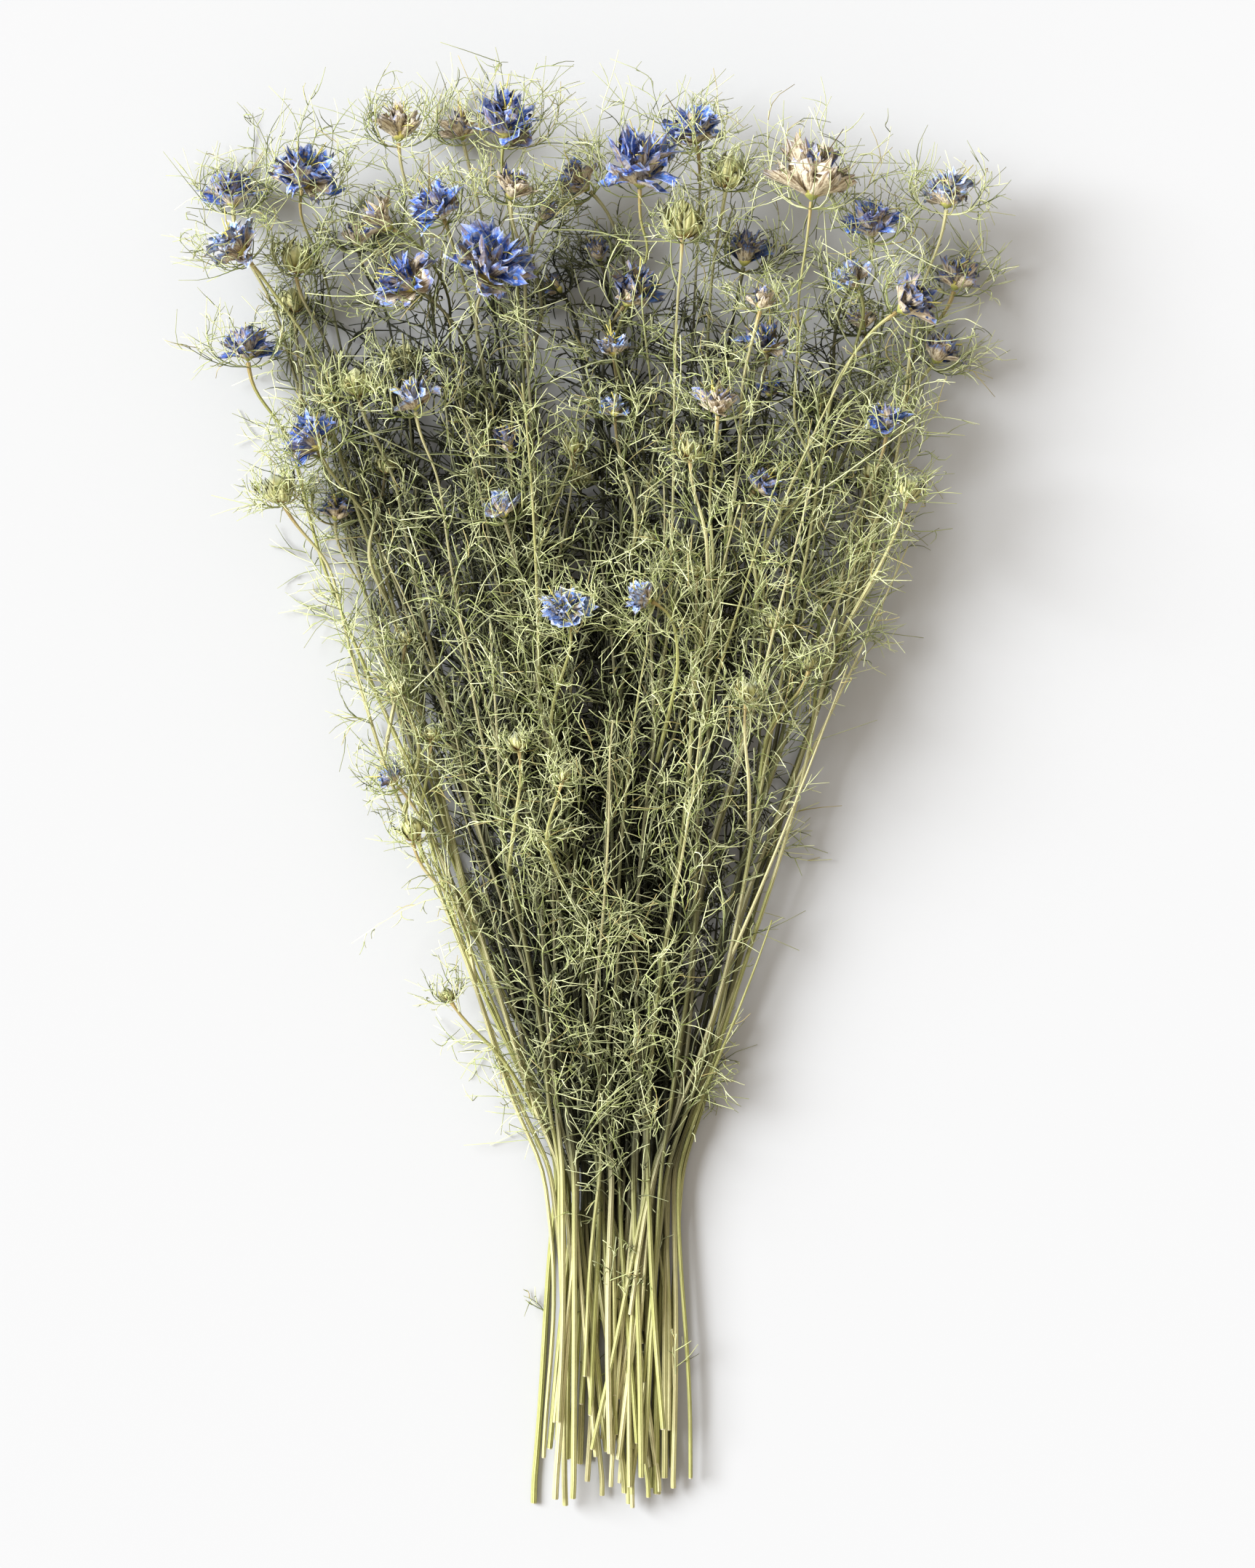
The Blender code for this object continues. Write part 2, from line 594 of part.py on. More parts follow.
def make_object(bm, name, collection):
    """A mesh object in metres, facing out, from a bmesh in millimetres."""
    if bm.calc_volume(signed=True) < 0:
        bmesh.ops.reverse_faces(bm, faces=bm.faces)
    mesh = bpy.data.meshes.new(name)
    bm.to_mesh(mesh)
    bm.free()
    mesh.transform(Matrix.Scale(MM, 4))
    made = bpy.data.objects.new(name, mesh)
    collection.objects.link(made)
    return made


def fuse(pieces, name, collection, material):
    """One body from overlapping solids: a Boolean union of the first with a collection of the rest."""
    loose = bpy.data.collections.new(name + "_pieces")
    bpy.context.scene.collection.children.link(loose)
    body = make_object(pieces[0], name, collection)
    others = [make_object(bm, f"{name}_piece", loose) for bm in pieces[1:]]
    union = body.modifiers.new("join", "BOOLEAN")
    union.operation = "UNION"
    union.operand_type = "COLLECTION"
    union.collection = loose
    union.solver = "MANIFOLD"
    joined = bpy.data.meshes.new_from_object(body.evaluated_get(bpy.context.evaluated_depsgraph_get()))
    body.modifiers.remove(union)
    body.data = joined
    body.data.materials.clear()
    body.data.materials.append(material)
    for other in others:
        bpy.data.objects.remove(other)
    bpy.data.collections.remove(loose)
    return body


def main():
    for old in list(bpy.data.objects):
        bpy.data.objects.remove(old)
    bunch = bpy.data.collections.new("dried_nigella_bunch")
    bpy.context.scene.collection.children.link(bunch)
    rng = np.random.default_rng(SEED)

    heads = read_heads()
    space_heads(heads)
    sprays = gather_sprays(heads)
    stems = lay_stems(sprays, heads, rng)
    room = Room(heads)
    for number, stem in enumerate(stems):
        room.add(stem["path"], stem["radii"], f"stem {number}")
        stem["head"]["carrier"] = f"stem {number}"
        stem["head"]["path"] = stem["path"]
    grow_shoots(heads, stems, room, rng)

    green = plain_material("dried_green", GREEN, 0.75)
    for stem in stems:
        sprays[stem["spray"]]["pieces"].append(sweep(stem["path"], stem["radii"], 4))
    for number, head in enumerate(heads):
        stem = head.get("stem") or stems[head["on_stem"]]
        head["spray"] = sprays[stem["spray"]]
        if not head["own_stem"]:
            head["carrier"] = f"shoot {number}"
            radii = [SHOOT_RADIUS, SHOOT_RADIUS, SHOOT_TIP_RADIUS, SHOOT_TIP_RADIUS]
            head["spray"]["pieces"].append(sweep(head["path"], radii, 3))
        if head["finish"] == "bud":
            head["spray"]["pieces"].append(bud_piece(head))
    for number, head in enumerate(heads):
        dress_head(head["spray"], head, number, room, rng)
    for number, stem in enumerate(stems):
        dress_stem(sprays[stem["spray"]], stem, number, room, rng)

    for number, spray in enumerate(sprays, 1):
        fuse(spray["pieces"], f"spray_{number:02d}", bunch, green)
    blooms = [head for head in heads if head["finish"] != "bud"]
    finishes = {}
    for finish, colour in FINISH_COLOURS.items():
        finishes[finish] = plain_material(f"petals_{finish}", colour, 0.7)
    for number, head in enumerate(blooms, 1):
        fuse(bloom_pieces(head, rng), f"bloom_{number:02d}", bunch, finishes[head["finish"]])


main()
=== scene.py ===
"""Looks for a bunch of dried love-in-a-mist that lies on a pale surface, seen from straight above.

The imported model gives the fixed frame. Its sprays and blooms are replaced by finer pieces that follow
the same stems and heads: ridged stems, forked thread-like bracts and leaves, buds and crumpled petals.
Lengths below are in millimetres, and every mesh is scaled to metres when it is made.
"""

import math

import bpy
import numpy as np
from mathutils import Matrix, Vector


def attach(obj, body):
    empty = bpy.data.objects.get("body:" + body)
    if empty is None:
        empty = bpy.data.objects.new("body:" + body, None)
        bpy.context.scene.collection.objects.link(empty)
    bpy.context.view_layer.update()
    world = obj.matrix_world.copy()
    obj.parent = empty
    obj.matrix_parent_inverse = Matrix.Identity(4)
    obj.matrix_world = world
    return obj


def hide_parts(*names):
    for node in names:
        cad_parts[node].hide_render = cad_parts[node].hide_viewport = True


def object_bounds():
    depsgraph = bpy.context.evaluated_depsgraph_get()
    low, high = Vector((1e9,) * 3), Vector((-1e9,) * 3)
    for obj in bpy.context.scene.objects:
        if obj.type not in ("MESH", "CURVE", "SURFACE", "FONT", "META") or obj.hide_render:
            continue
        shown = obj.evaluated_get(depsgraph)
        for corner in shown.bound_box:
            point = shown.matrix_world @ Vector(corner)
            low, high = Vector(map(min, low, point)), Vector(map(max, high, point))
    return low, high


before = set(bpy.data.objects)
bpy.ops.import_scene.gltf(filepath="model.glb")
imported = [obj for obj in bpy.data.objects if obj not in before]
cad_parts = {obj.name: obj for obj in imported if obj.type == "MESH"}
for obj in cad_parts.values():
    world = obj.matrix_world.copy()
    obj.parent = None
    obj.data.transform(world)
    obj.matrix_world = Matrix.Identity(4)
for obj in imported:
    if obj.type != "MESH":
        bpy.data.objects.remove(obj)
cad_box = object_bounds()

MM = 0.001

# The bunch as the CAD model has it
CUT_END_Y = -134.0
CUT_END_SPREAD = 34.0
STEM_WIDTH = 2.5
STEM_TIP_WIDTH = 1.7
SHOOT_RADIUS = 0.9
TIER_HEIGHTS = (13.0, 25.0, 39.0, 53.0)
BAND_TIERS = ((0, 1), (2,), (3,))
BAND_SPRAYS = (5, 6, 4)
BAND_PITCH = (11.0, 9.2, 12.5)
BAND_CUT_SHIFT = (-3.0, 5.0, -7.0)
BAND_STEP = 5.0
NECK_STEM_PITCH = 2.1
CUT_END_PITCH = 2.5
STATION_STEP = 18.0
STATIONS = (-8, 26)
STEM_GAP = 1.6
PATH_SLACK = 0.6
BLOOM_GAP = 2.0
SPACING_ROUNDS = 90
SMOOTHING_ROUNDS = 78
SMOOTHING = 0.16
HEAD_PUSH, STEM_PUSH, BALL_PUSH = 0.4, 0.5, 0.8
ASIDE_EASE = 0.25
FAR_AWAY = 1e6
WAVE = 8
WAVE_RUNS = (50, 80)
FAN_POWER = 0.94
RISE_POWER = 1.35
APPROACH = 0.8
CLEARING_ROUNDS = 45
SHOOT_TRIES = 120
SHOOT_RUN = 40.0
SHOOT_GAP = 0.45
SHOOT_BOWS = ((-9, 9), (-8, 8), (-6, 14))
NECK_TOP_Y = 8.0
FLOOR_LIFT_RUN = 110.0
HEAD_REACH = 0.52
HEAD_CENTRE = 0.22
HEAD_FLOOR_GAP = 1.5
TOUCH_GAP = 0.3
TIP_RUN = 2.8
SEED = 11
STEM_SEEDS = 99991
FIRST_STEM_SEED = 7
SPRAY_SEED = 100
BLOOM_SEED = 500

# The photograph: its frame on the surface, and how it was taken
VIEW_CENTRE = (3.2, 168.2)
VIEW_HEIGHT = 646.8
FOCUS_HEIGHT = 35.0
CAMERA_DISTANCE = 2200.0

# What each face of a mesh is made of, by the order of its materials
STEMS, THREADS, BUDS = 0, 1, 2
PETALS, CORE = 0, 1

# Stems: their runs and sides, how they thin and flare, and the slow waves along them
STEM_RUN = 4.0
STEM_SIDES = 8
THIN_STEM_SIDES = 6
TWIG_SIDES = 5
ROUNDING = 6
STEM_THINS = 0.32
STEM_ROUND = (0.76, 1.10)
HEAD_FLARE = 0.4
FLARE_POWER = 60
FOOT_SHARE = 0.88
FOOT_CAP = 0.004
FOOT_ROUND = 0.10
TIP_CAP = 0.02
CLOSED = 0.01
STEM_WAVE = 1.8
STEM_WAVE_RUNS = (22, 45)
STEM_SWAY = 3.5
STEM_SWAY_RUN = 58.0
BROWN_RUNS = (8, 40)
BROWN_CHANCE = 0.5
SHOOT_BROWN_RUNS = (15, 40)
SHOOT_TAPER = ((0, 0.5, 0.97, 1), (1.0, 0.8, 0.6, 1.1))

# The bends of two stems, by head: each one's height, how long it is, and how far aside it goes
BENDS = {
    22: ((350.0, 30.0, -16.0), (388.0, 9.0, 3.0)),
    26: ((296.0, 15.0, 9.0), (262.0, 14.0, -4.0)),
}
BEND_LIFT = 0.8

# How stems drift and cross below the neck, towards their cut ends
CROSS_TOP_Y = NECK_TOP_Y + 25.0
CROSS_RUN = 130.0
CROSS_MOST = 1.2
CROSS_DRIFT = 15.0
CROSS_LIFT = 2.3
CROSSING_SHARE = 0.3
CROSSING_DRIFT = (9.0, 20.0)
CUT_CLOSES = 0.17

# Thin side stems: one beside each stem, from a fork down to a cut end
SIDE_STEMS = 1
SIDE_FORKS = (40.0, 210.0)
SIDE_FIRST_POINTS = 22
SIDE_SPREADS = (3.0, 12.0)
SIDE_CLOSES = 0.10
SIDE_WAVE = 1.5
SIDE_WAVE_RUN = 30.0
SIDE_STEM_LIFT = 2.5
SIDE_STEM_LIFTS = (0.3, 1.0)
SIDE_LEAST_POINTS = 7
SIDE_STEM_FLOOR = 1.4
SIDE_STEM_RADII = (0.75, 1.25)
SIDE_STEM_TIP = 0.8

# The fan that the bunch makes, and how deep inside it a point is: deep points get painted shade, and threads
# there are wider
FAN_NECK = 27.0
FAN_SLOPE = 0.37
FAN_LEAN = -0.02
BUNCH_THICK = 24.0
BUNCH_SWELL = 0.10
DEEP_SIDE = 0.4
DEEP_FROM_Y = -70
DEEP_FROM_RUN = 90
DEEP_TO_Y = 450
DEEP_TO_RUN = 110
PAINTED_SHADE_SHARE = 0.97
PAINTED_SHADE_STEPS = (0.05, 0.58)
DEEP_WIDENS = 0.9

# Offshoots: how many leave a parent and along what share of it, at what angle in degrees, how long they
# are, how much they curl, and the points of each
LEAVES = {"count": 25, "span": (0.25, 0.89), "angle": 26, "length": 32.0, "curl": 0.35, "points": 7}
LOW_LEAVES = {"count": 2, "span": (0.10, 0.25), "angle": 16, "length": 12.0, "curl": 0.5, "points": 6}
TWIGS = {"count": 3, "span": (0.28, 0.72), "angle": 11, "length": 130.0, "curl": 0.10, "points": 24}
TWIG_LEAVES = {"count": 4, "span": (0.2, 1.0), "angle": 28, "length": 24.0, "curl": 0.4, "points": 6}
SHOOT_LEAVES = {"count": 4, "span": (0.15, 0.9), "angle": 32, "length": 24.0, "curl": 0.5, "points": 6}
TENDRILS = {"count": 3, "span": (0.5, 0.97), "angle": 40, "length": 30.0, "curl": 1.1, "points": 9}
SIDE_THREADS = {"span": (0.18, 0.97), "angle": 44, "points": 5}
SHORT_THREADS = {"count": 1, "span": (0.3, 0.8), "angle": 46, "points": 4}
STYLES = {"count": 14, "span": (0.0, 0.8), "angle": 40, "curl": 0.6, "points": 6}
OFFSHOOT_SCATTER = 0.35
OFFSHOOT_LEANS = (0.5, 1.5)
OFFSHOOT_LENGTHS = (0.6, 1.35)
OFFSHOOT_TAPER = (1.2, 0.6)
OFFSHOOT_ONWARD = 0.12
OFFSHOOT_BEND = 0.6
OFFSHOOT_HOOK = 0.55

# Fronds: the threads to the sides of a rib, how long they are and curl, and the radius and tone of all
THREAD_RADIUS = 0.30
STEM_FRONDS = {"sides": 8, "length": 14.5, "curl": 0.65, "radius": THREAD_RADIUS, "tone": 0.44}
TWIG_FRONDS = {"sides": 7, "length": 12.0, "curl": 0.65, "radius": THREAD_RADIUS * 0.9, "tone": 0.47}
LOW_FRONDS = {"sides": 4, "length": 7.0, "curl": 0.7, "radius": THREAD_RADIUS, "tone": 0.38}
SHOOT_FRONDS = {"sides": 6, "length": 10.0, "curl": 0.6, "radius": THREAD_RADIUS, "tone": 0.48}
MIST_FRONDS = {"curl": 0.85, "radius": 0.28, "tone": 0.43}
SIDE_THREAD_RADIUS = 0.88
SHORT_THREAD_RADIUS = 0.8
SHORT_THREAD_LENGTH = 0.62
SHORT_THREAD_CURL = 0.8
TENDRIL_RADIUS = THREAD_RADIUS * 1.4
TENDRIL_TONE = 0.7
THREAD_TIP = 0.6
THREAD_FLOOR = 0.75
FLOOR_BOUNCE = 1.3
TONE_SPREAD = 0.36
TWIG_RADII = (0.85, 0.35)
TWIG_FLOOR = 1.0
TWIG_CEILING = 26.0
TWIG_RISE = 0.15
PARENT_POINTS = 100

# Leaves are few at the lower sides of the fan: past a share of its half width and below a height
BARE_FROM = 0.45
BARE_OVER = 0.35
BARE_BELOW_Y = 250
BARE_RUN = 90
BARE_SHARE = 0.9

# The mist round a head: small heads have fewer ribs, and threads mostly keep off the faces of blooms
SMALL_HEAD = 12.5
MIST_RIBS = {True: 8, False: 13}
MIST_SIDES = {True: 5, False: 7}
MIST_LENGTH = 0.34
MIST_LENGTH_LEAST = 3.5
MIST_CLEAR = 3.0
MIST_SPREAD = 0.58
MIST_AHEAD = 0.95
MIST_SPREADS = (0.8, 1.25)
MIST_AHEADS = (0.35, 1.15)
MIST_TIPS = (0.45, 1.35)
MIST_SWING = 0.16
MIST_ROOT = 0.10
MIST_ROOT_RADIUS = 0.5
MIST_TURN = 0.4
MIST_OUT = (0.9, 1.1)
MIST_HALFWAY = 0.55
MIST_POINTS = 8
MIST_PROUD = 9.0
FACE_SHARE = 0.42
FACE_CLEAR = 0.42

# Directions that each ring of ribs or petals starts square to
MIST_ASIDE = (0.1, 0.3, 0.95)
HEAD_ASIDE = (0.31, 0.2, 0.93)

# Petals: their grid, the few that are lost, and how much they differ
FULL_BLOOM = 20.5
PETAL_LOSS = 0.2
PETAL_ROWS = 7
PETAL_COLUMNS = 5
PETAL_SHELL = 0.35
PETAL_FLOOR = 0.3
PETAL_LENGTHS = (0.82, 1.08)
PETAL_BREADTHS = (0.8, 1.15)
PETAL_LEAN = 15
PETAL_TWIST = 50
PETAL_TURN = 0.3
PETAL_TONES = 0.9
SMALL_BLOOM_SHARE = 0.55
MOST_PETALS = 1.1
PETAL_ROOT = 0.03
BLUNT, UNRULY = 0.74, 45

# Rings of petals: count, tilt and curl in degrees, length, breadth and root as shares of the head's
# width, claw as a share of the breadth, fold, crease, the share that is papery, where round the axis the
# ring starts, by how many degrees its curl differs, and how blunt its petals are
PETAL_RINGS = {
    "blue": (
        (7, 66, -6, 0.54, 0.42, 0.05, 0.16, 0.2, 1.1, 0.60, 0.0, UNRULY, BLUNT),
        (12, 46, 8, 0.58, 0.30, 0.09, 0.14, 0.3, 1.7, 0.12, 0.5, UNRULY, BLUNT),
        (11, 22, 18, 0.58, 0.26, 0.12, 0.14, 0.4, 1.9, 0.06, 0.0, UNRULY, BLUNT),
    ),
    "navy": (
        (7, 58, -18, 0.54, 0.38, 0.05, 0.16, 0.3, 1.1, 0.50, 0.0, UNRULY, BLUNT),
        (10, 34, 6, 0.60, 0.30, 0.09, 0.14, 0.4, 1.6, 0.15, 0.5, UNRULY, BLUNT),
        (8, 12, 12, 0.58, 0.26, 0.12, 0.14, 0.4, 1.8, 0.06, 0.0, UNRULY, BLUNT),
    ),
    "pale": (
        (7, 62, -4, 0.54, 0.42, 0.05, 0.16, 0.3, 1.3, 0.75, 0.0, UNRULY, BLUNT),
        (11, 38, 12, 0.60, 0.32, 0.09, 0.14, 0.4, 1.8, 0.20, 0.5, UNRULY, BLUNT),
        (8, 14, 16, 0.56, 0.28, 0.12, 0.14, 0.4, 1.8, 0.10, 0.0, UNRULY, BLUNT),
    ),
    "cream": (
        (9, 62, -16, 0.60, 0.36, 0.04, 0.22, 0.3, 0.8, 0.95, 0.0, 25, BLUNT),
        (9, 38, -2, 0.64, 0.32, 0.08, 0.18, 0.4, 1.2, 0.60, 0.5, UNRULY, BLUNT),
        (7, 12, 12, 0.58, 0.26, 0.12, 0.16, 0.4, 1.6, 0.20, 0.0, UNRULY, BLUNT),
    ),
    "bud": (
        (9, 80, -100, 0.92, 0.36, 0.00, 0.30, 0.2, 0.4, 0.00, 0.0, 20, 1.0),
        (7, 55, -70, 1.08, 0.30, 0.06, 0.30, 0.2, 0.4, 0.00, 0.5, 20, 1.0),
    ),
}

# The cores of buds and blooms, as shares of the head's width or of the core's size
BUD_SIZE = 0.44
CORE_SIZE = 0.15
CORE_WIDTH = 0.86
CORE_RISE = 2.05
CORE_RIDGES = 5
CORE_RIDGE = 0.07
CORE_ROWS = 8
CORE_SIDES = 16
STYLE_ROOT = 0.25
STYLE_RUN = 0.25
STYLE_LENGTH = 0.28
STYLE_RADIUS = 0.48
STYLE_TIP = 0.5
STYLE_TONE = 0.65
STYLE_TONE_SPREAD = 0.3

# Finishes: how glossy they are, the features a metre of their noises, and their relief
PLANT_GLOSS = 0.35
BLOTCH_SCALE = 160.0
GRAIN_SCALE = 900.0
BLEACH_SCALE = 650.0
BUMP_STRENGTH = 0.6
BUMP_DEPTH = 0.0004

# Colours of stems and threads
# Painted shade: stems and threads deep inside the bunch are mixed towards this near-black olive
PAINTED_SHADE_OLIVE = (0.010, 0.012, 0.004)
STEM_RIDGES = 7.0
STEM_GREEN = (0.41, 0.41, 0.14)
STEM_STRAW = (0.66, 0.61, 0.34)
# Painted shade in the grooves between a stem's ridges
STEM_GROOVE_SHADE = (0.12, 0.135, 0.035)
STEM_BROWN = (0.40, 0.30, 0.12)
CUT_PALE = (0.72, 0.66, 0.44)
THREAD_OLIVE = (0.085, 0.105, 0.026)
THREAD_SAGE = (0.81, 0.85, 0.49)
THREAD_LEAF = (0.48, 0.56, 0.17)
THREAD_STRAW = (0.70, 0.70, 0.43)

# Colours of buds and the hearts of blooms
BUD_RIBS = 5.0
BUD_GREEN = (0.64, 0.62, 0.30)
# Painted shade between a bud's ribs
BUD_SHADE = (0.34, 0.34, 0.13)
BUD_BROWN = (0.33, 0.17, 0.04)
BUD_TIP = (0.25, 0.27, 0.20)
BUD_RIM = (0.55, 0.52, 0.32)
CORE_GREEN = (0.28, 0.30, 0.08)
CORE_YELLOW = (0.66, 0.58, 0.17)
CORE_DARK = (0.13, 0.10, 0.05)

# Colours of petals: dry paper, and each kind of bloom's own, with how bleached and papery it is
PAPER = (0.74, 0.64, 0.46)
PAPER_VEIN = (0.17, 0.10, 0.04)
CLAW_GOLD = (0.50, 0.34, 0.10)
PETAL_COLOURS = {
    "blue": {
        "deep": (0.022, 0.085, 0.46), "bright": (0.11, 0.27, 0.76), "vein": (0.015, 0.028, 0.20),
        "rim": (0.62, 0.67, 0.82), "rim_share": 0.80, "paper_end": 0.95, "bleach": 0.45,
    },
    "navy": {
        "deep": (0.014, 0.034, 0.15), "bright": (0.060, 0.16, 0.50), "vein": (0.010, 0.014, 0.05),
        "rim": (0.36, 0.40, 0.52), "rim_share": 0.7, "paper_end": 1.0, "bleach": 0.25,
    },
    "pale": {
        "deep": (0.08, 0.19, 0.55), "bright": (0.33, 0.49, 0.79), "vein": (0.05, 0.08, 0.30),
        "rim": (0.78, 0.80, 0.86), "rim_share": 0.9, "paper_end": 0.9, "bleach": 0.60,
    },
    "cream": {
        "deep": (0.07, 0.13, 0.50), "bright": (0.32, 0.40, 0.70), "vein": (0.03, 0.05, 0.18),
        "rim": (0.70, 0.68, 0.66), "rim_share": 0.7, "paper_end": 1.2, "bleach": 0.45,
    },
}

# Floor and light
FLOOR_SIZE = 6.0
FLOOR_COLOUR = (0.434, 0.442, 0.454)
ROOM_COLOUR = (1.0, 0.90, 0.78)
ROOM_LIGHT = 0.80
BACKDROP_COLOUR = (1.0, 1.0, 1.0)
BACKDROP_LIGHT = 0.97
KEY_FROM = (-0.765, 0.24, 0.60)
KEY_AWAY = 2.0
KEY_ANGLE = 0.60
KEY_POWER = 7.55
KEY_COLOUR = (0.974, 1.0, 1.031)
SENSOR_HEIGHT = 24.0

# x, y, tier, width, facing (degrees from +Y towards +X), rise (degrees), finish, what it grows on
HEADS = (
    (-161, 413, 0, 24, 0, 5, "blue", "stem"),
    (-130, 418, 2, 28, 15, 40, "blue", "stem"),
    (-157, 389, 2, 24, -40, 25, "pale", "stem"),
    (-134, 383, 1, 14, 5, 10, "bud", "stem"),
    (-136, 367, 0, 12, -5, 5, "bud", "shoot"),
    (-154, 348, 1, 22, 0, 10, "blue", "stem"),
    (-109, 395, 0, 16, 0, 5, "cream", "stem"),
    (-108, 331, 2, 13, -5, 15, "bud", "stem"),
    (-126, 309, 2, 23, -25, 35, "blue", "stem"),
    (-84, 325, 3, 20, -5, 20, "pale", "stem"),
    (-140, 287, 2, 14, -20, 10, "bud", "stem"),
    (-118, 281, 0, 16, 10, 5, "navy", "stem"),
    (-91, 437, 2, 21, 0, 10, "cream", "stem"),
    (-66, 440, 0, 18, -10, 5, "cream", "stem"),
    (-47, 437, 3, 28, 5, 20, "blue", "stem"),
    (-96, 397, 2, 21, -55, 20, "cream", "stem"),
    (-88, 377, 2, 26, -55, 30, "blue", "stem"),
    (-73, 402, 3, 23, -30, 35, "blue", "stem"),
    (-54, 380, 3, 35, 25, 45, "blue", "stem"),
    (-44, 411, 3, 19, 10, 20, "cream", "stem"),
    (-31, 404, 1, 13, 40, 5, "navy", "shoot"),
    (-16, 417, 1, 21, -50, 10, "navy", "stem"),
    (9, 418, 3, 34, 0, 25, "blue", "stem"),
    (31, 436, 2, 23, -10, 25, "blue", "stem"),
    (44, 417, 2, 15, 5, 5, "bud", "stem"),
    (25, 396, 3, 18, 0, 5, "bud", "stem"),
    (79, 414, 3, 33, 5, 5, "cream", "stem"),
    (135, 410, 2, 23, 5, 10, "pale", "stem"),
    (103, 395, 2, 23, 0, 25, "blue", "stem"),
    (97, 378, 2, 19, -35, 20, "pale", "stem"),
    (140, 378, 0, 20, 10, 5, "navy", "stem"),
    (118, 364, 3, 24, 60, 10, "navy", "stem"),
    (100, 359, 1, 14, -20, 10, "cream", "shoot"),
    (133, 347, 0, 20, 35, 5, "navy", "stem"),
    (52, 387, 1, 21, 10, 15, "navy", "stem"),
    (58, 365, 3, 14, 10, 10, "cream", "stem"),
    (60, 349, 2, 20, -15, 40, "navy", "stem"),
    (62, 331, 1, 12, 10, 20, "blue", "shoot"),
    (-9, 389, 0, 15, -20, 5, "navy", "stem"),
    (5, 369, 2, 25, 40, 25, "navy", "stem"),
    (-3, 347, 2, 16, -10, 20, "pale", "stem"),
    (-26, 375, 0, 13, -40, 5, "navy", "shoot"),
    (40, 323, 3, 19, 0, 15, "cream", "stem"),
    (29, 303, 3, 10, 5, 10, "bud", "shoot"),
    (58, 291, 2, 15, 50, 20, "blue", "shoot"),
    (110, 317, 2, 17, 0, 20, "blue", "stem"),
    (84, 325, 0, 11, 0, 5, "bud", "shoot"),
    (118, 287, 3, 11, 12, 5, "bud", "shoot"),
    (-46, 308, 2, 16, 0, 20, "navy", "stem"),
    (-48, 281, 2, 17, -10, 20, "pale", "stem"),
    (-2, 322, 2, 14, 0, 20, "pale", "shoot"),
    (-19, 306, 2, 7, 0, 15, "bud", "shoot"),
    (-22, 238, 3, 20, -20, 50, "pale", "shoot"),
    (10, 244, 3, 16, -70, 20, "pale", "shoot"),
    (12, 268, 1, 10, 0, 10, "bud", "shoot"),
    (-26, 213, 1, 9, -20, 10, "bud", "shoot"),
    (-94, 170, 1, 14, -40, 10, "pale", "shoot"),
    (-86, 147, 1, 12, -5, 5, "bud", "shoot"),
    (-89, 228, 1, 6, 0, 10, "bud", "shoot"),
    (-92, 207, 1, 7, -30, 10, "bud", "shoot"),
    (-71, 80, 1, 6, -25, 5, "bud", "shoot"),
    (52, 204, 3, 9, 10, 15, "bud", "shoot"),
    (78, 217, 2, 6, 0, 10, "bud", "shoot"),
    (63, 234, 2, 7, 0, 10, "bud", "shoot"),
    (45, 232, 1, 6, 5, 10, "bud", "shoot"),
    (-23, 171, 3, 6, 15, 15, "bud", "shoot"),
    (-42, 184, 2, 8, -15, 10, "bud", "shoot"),
    (-78, 188, 1, 7, 0, 10, "bud", "shoot"),
    (-97, 299, 1, 9, 5, 10, "bud", "shoot"),
    (-90, 343, 1, 11, 5, 10, "bud", "shoot"),
    (-16, 294, 1, 9, 10, 10, "bud", "shoot"),
    (104, 296, 1, 9, 0, 10, "bud", "shoot"),
    (32, 255, 2, 7, 5, 10, "bud", "shoot"),
)


def unit(vector):
    """The vector at a length of 1."""
    return vector / max(np.linalg.norm(vector), 1e-9)


def head_axis(facing, rise):
    """The way a head faces: turned from +Y towards +X, then lifted off the surface."""
    turn, lift = math.radians(facing), math.radians(rise)
    flat = math.cos(lift)
    return np.array([math.sin(turn) * flat, math.cos(turn) * flat, math.sin(lift)])


def read_heads():
    """The table as a list of dictionaries, with each head's height from its tier."""
    heads = []
    for number, (x, y, tier, width, facing, rise, finish, grows_on) in enumerate(HEADS):
        centre = np.array([x, y, max(TIER_HEIGHTS[tier], HEAD_REACH * width + HEAD_FLOOR_GAP)], float)
        heads.append({
            "number": number, "centre": centre, "tier": tier, "width": float(width),
            "axis": head_axis(facing, rise), "finish": finish, "own_stem": grows_on == "stem",
        })
    return heads


def space_heads(heads):
    """Moves heads that would touch apart, mostly in height, and finds each head's base."""
    centres = np.array([head["centre"] for head in heads])
    reach = np.array([HEAD_REACH * head["width"] for head in heads])
    floor = reach + HEAD_FLOOR_GAP
    ease = np.array([ASIDE_EASE, ASIDE_EASE, 1.0])
    for _ in range(SPACING_ROUNDS):
        apart = centres[:, None] - centres[None]
        distance = np.linalg.norm(apart, axis=2) + np.eye(len(heads)) * FAR_AWAY
        short = np.clip(reach[:, None] + reach[None] + BLOOM_GAP - distance, 0, None)
        centres += ((apart / distance[..., None]) * short[..., None] * HEAD_PUSH).sum(axis=1) * ease
        centres[:, 2] = np.maximum(centres[:, 2], floor)
    for head, centre in zip(heads, centres):
        head["centre"] = centre
        head["base"] = centre - head["axis"] * HEAD_CENTRE * head["width"]


def gather_sprays(heads):
    """Sorts the heads that have their own stem into sprays, by band and by angle from the neck."""
    sprays = []
    for band, tiers in enumerate(BAND_TIERS):
        members = [h for h in heads if h["own_stem"] and h["tier"] in tiers]
        members.sort(key=lambda h: math.atan2(h["base"][0], h["base"][1]))
        count = BAND_SPRAYS[band]
        for place in range(count):
            low = round(place * len(members) / count)
            high = round((place + 1) * len(members) / count)
            sprays.append({"band": band, "place": place, "heads": members[low:high]})
    return sprays


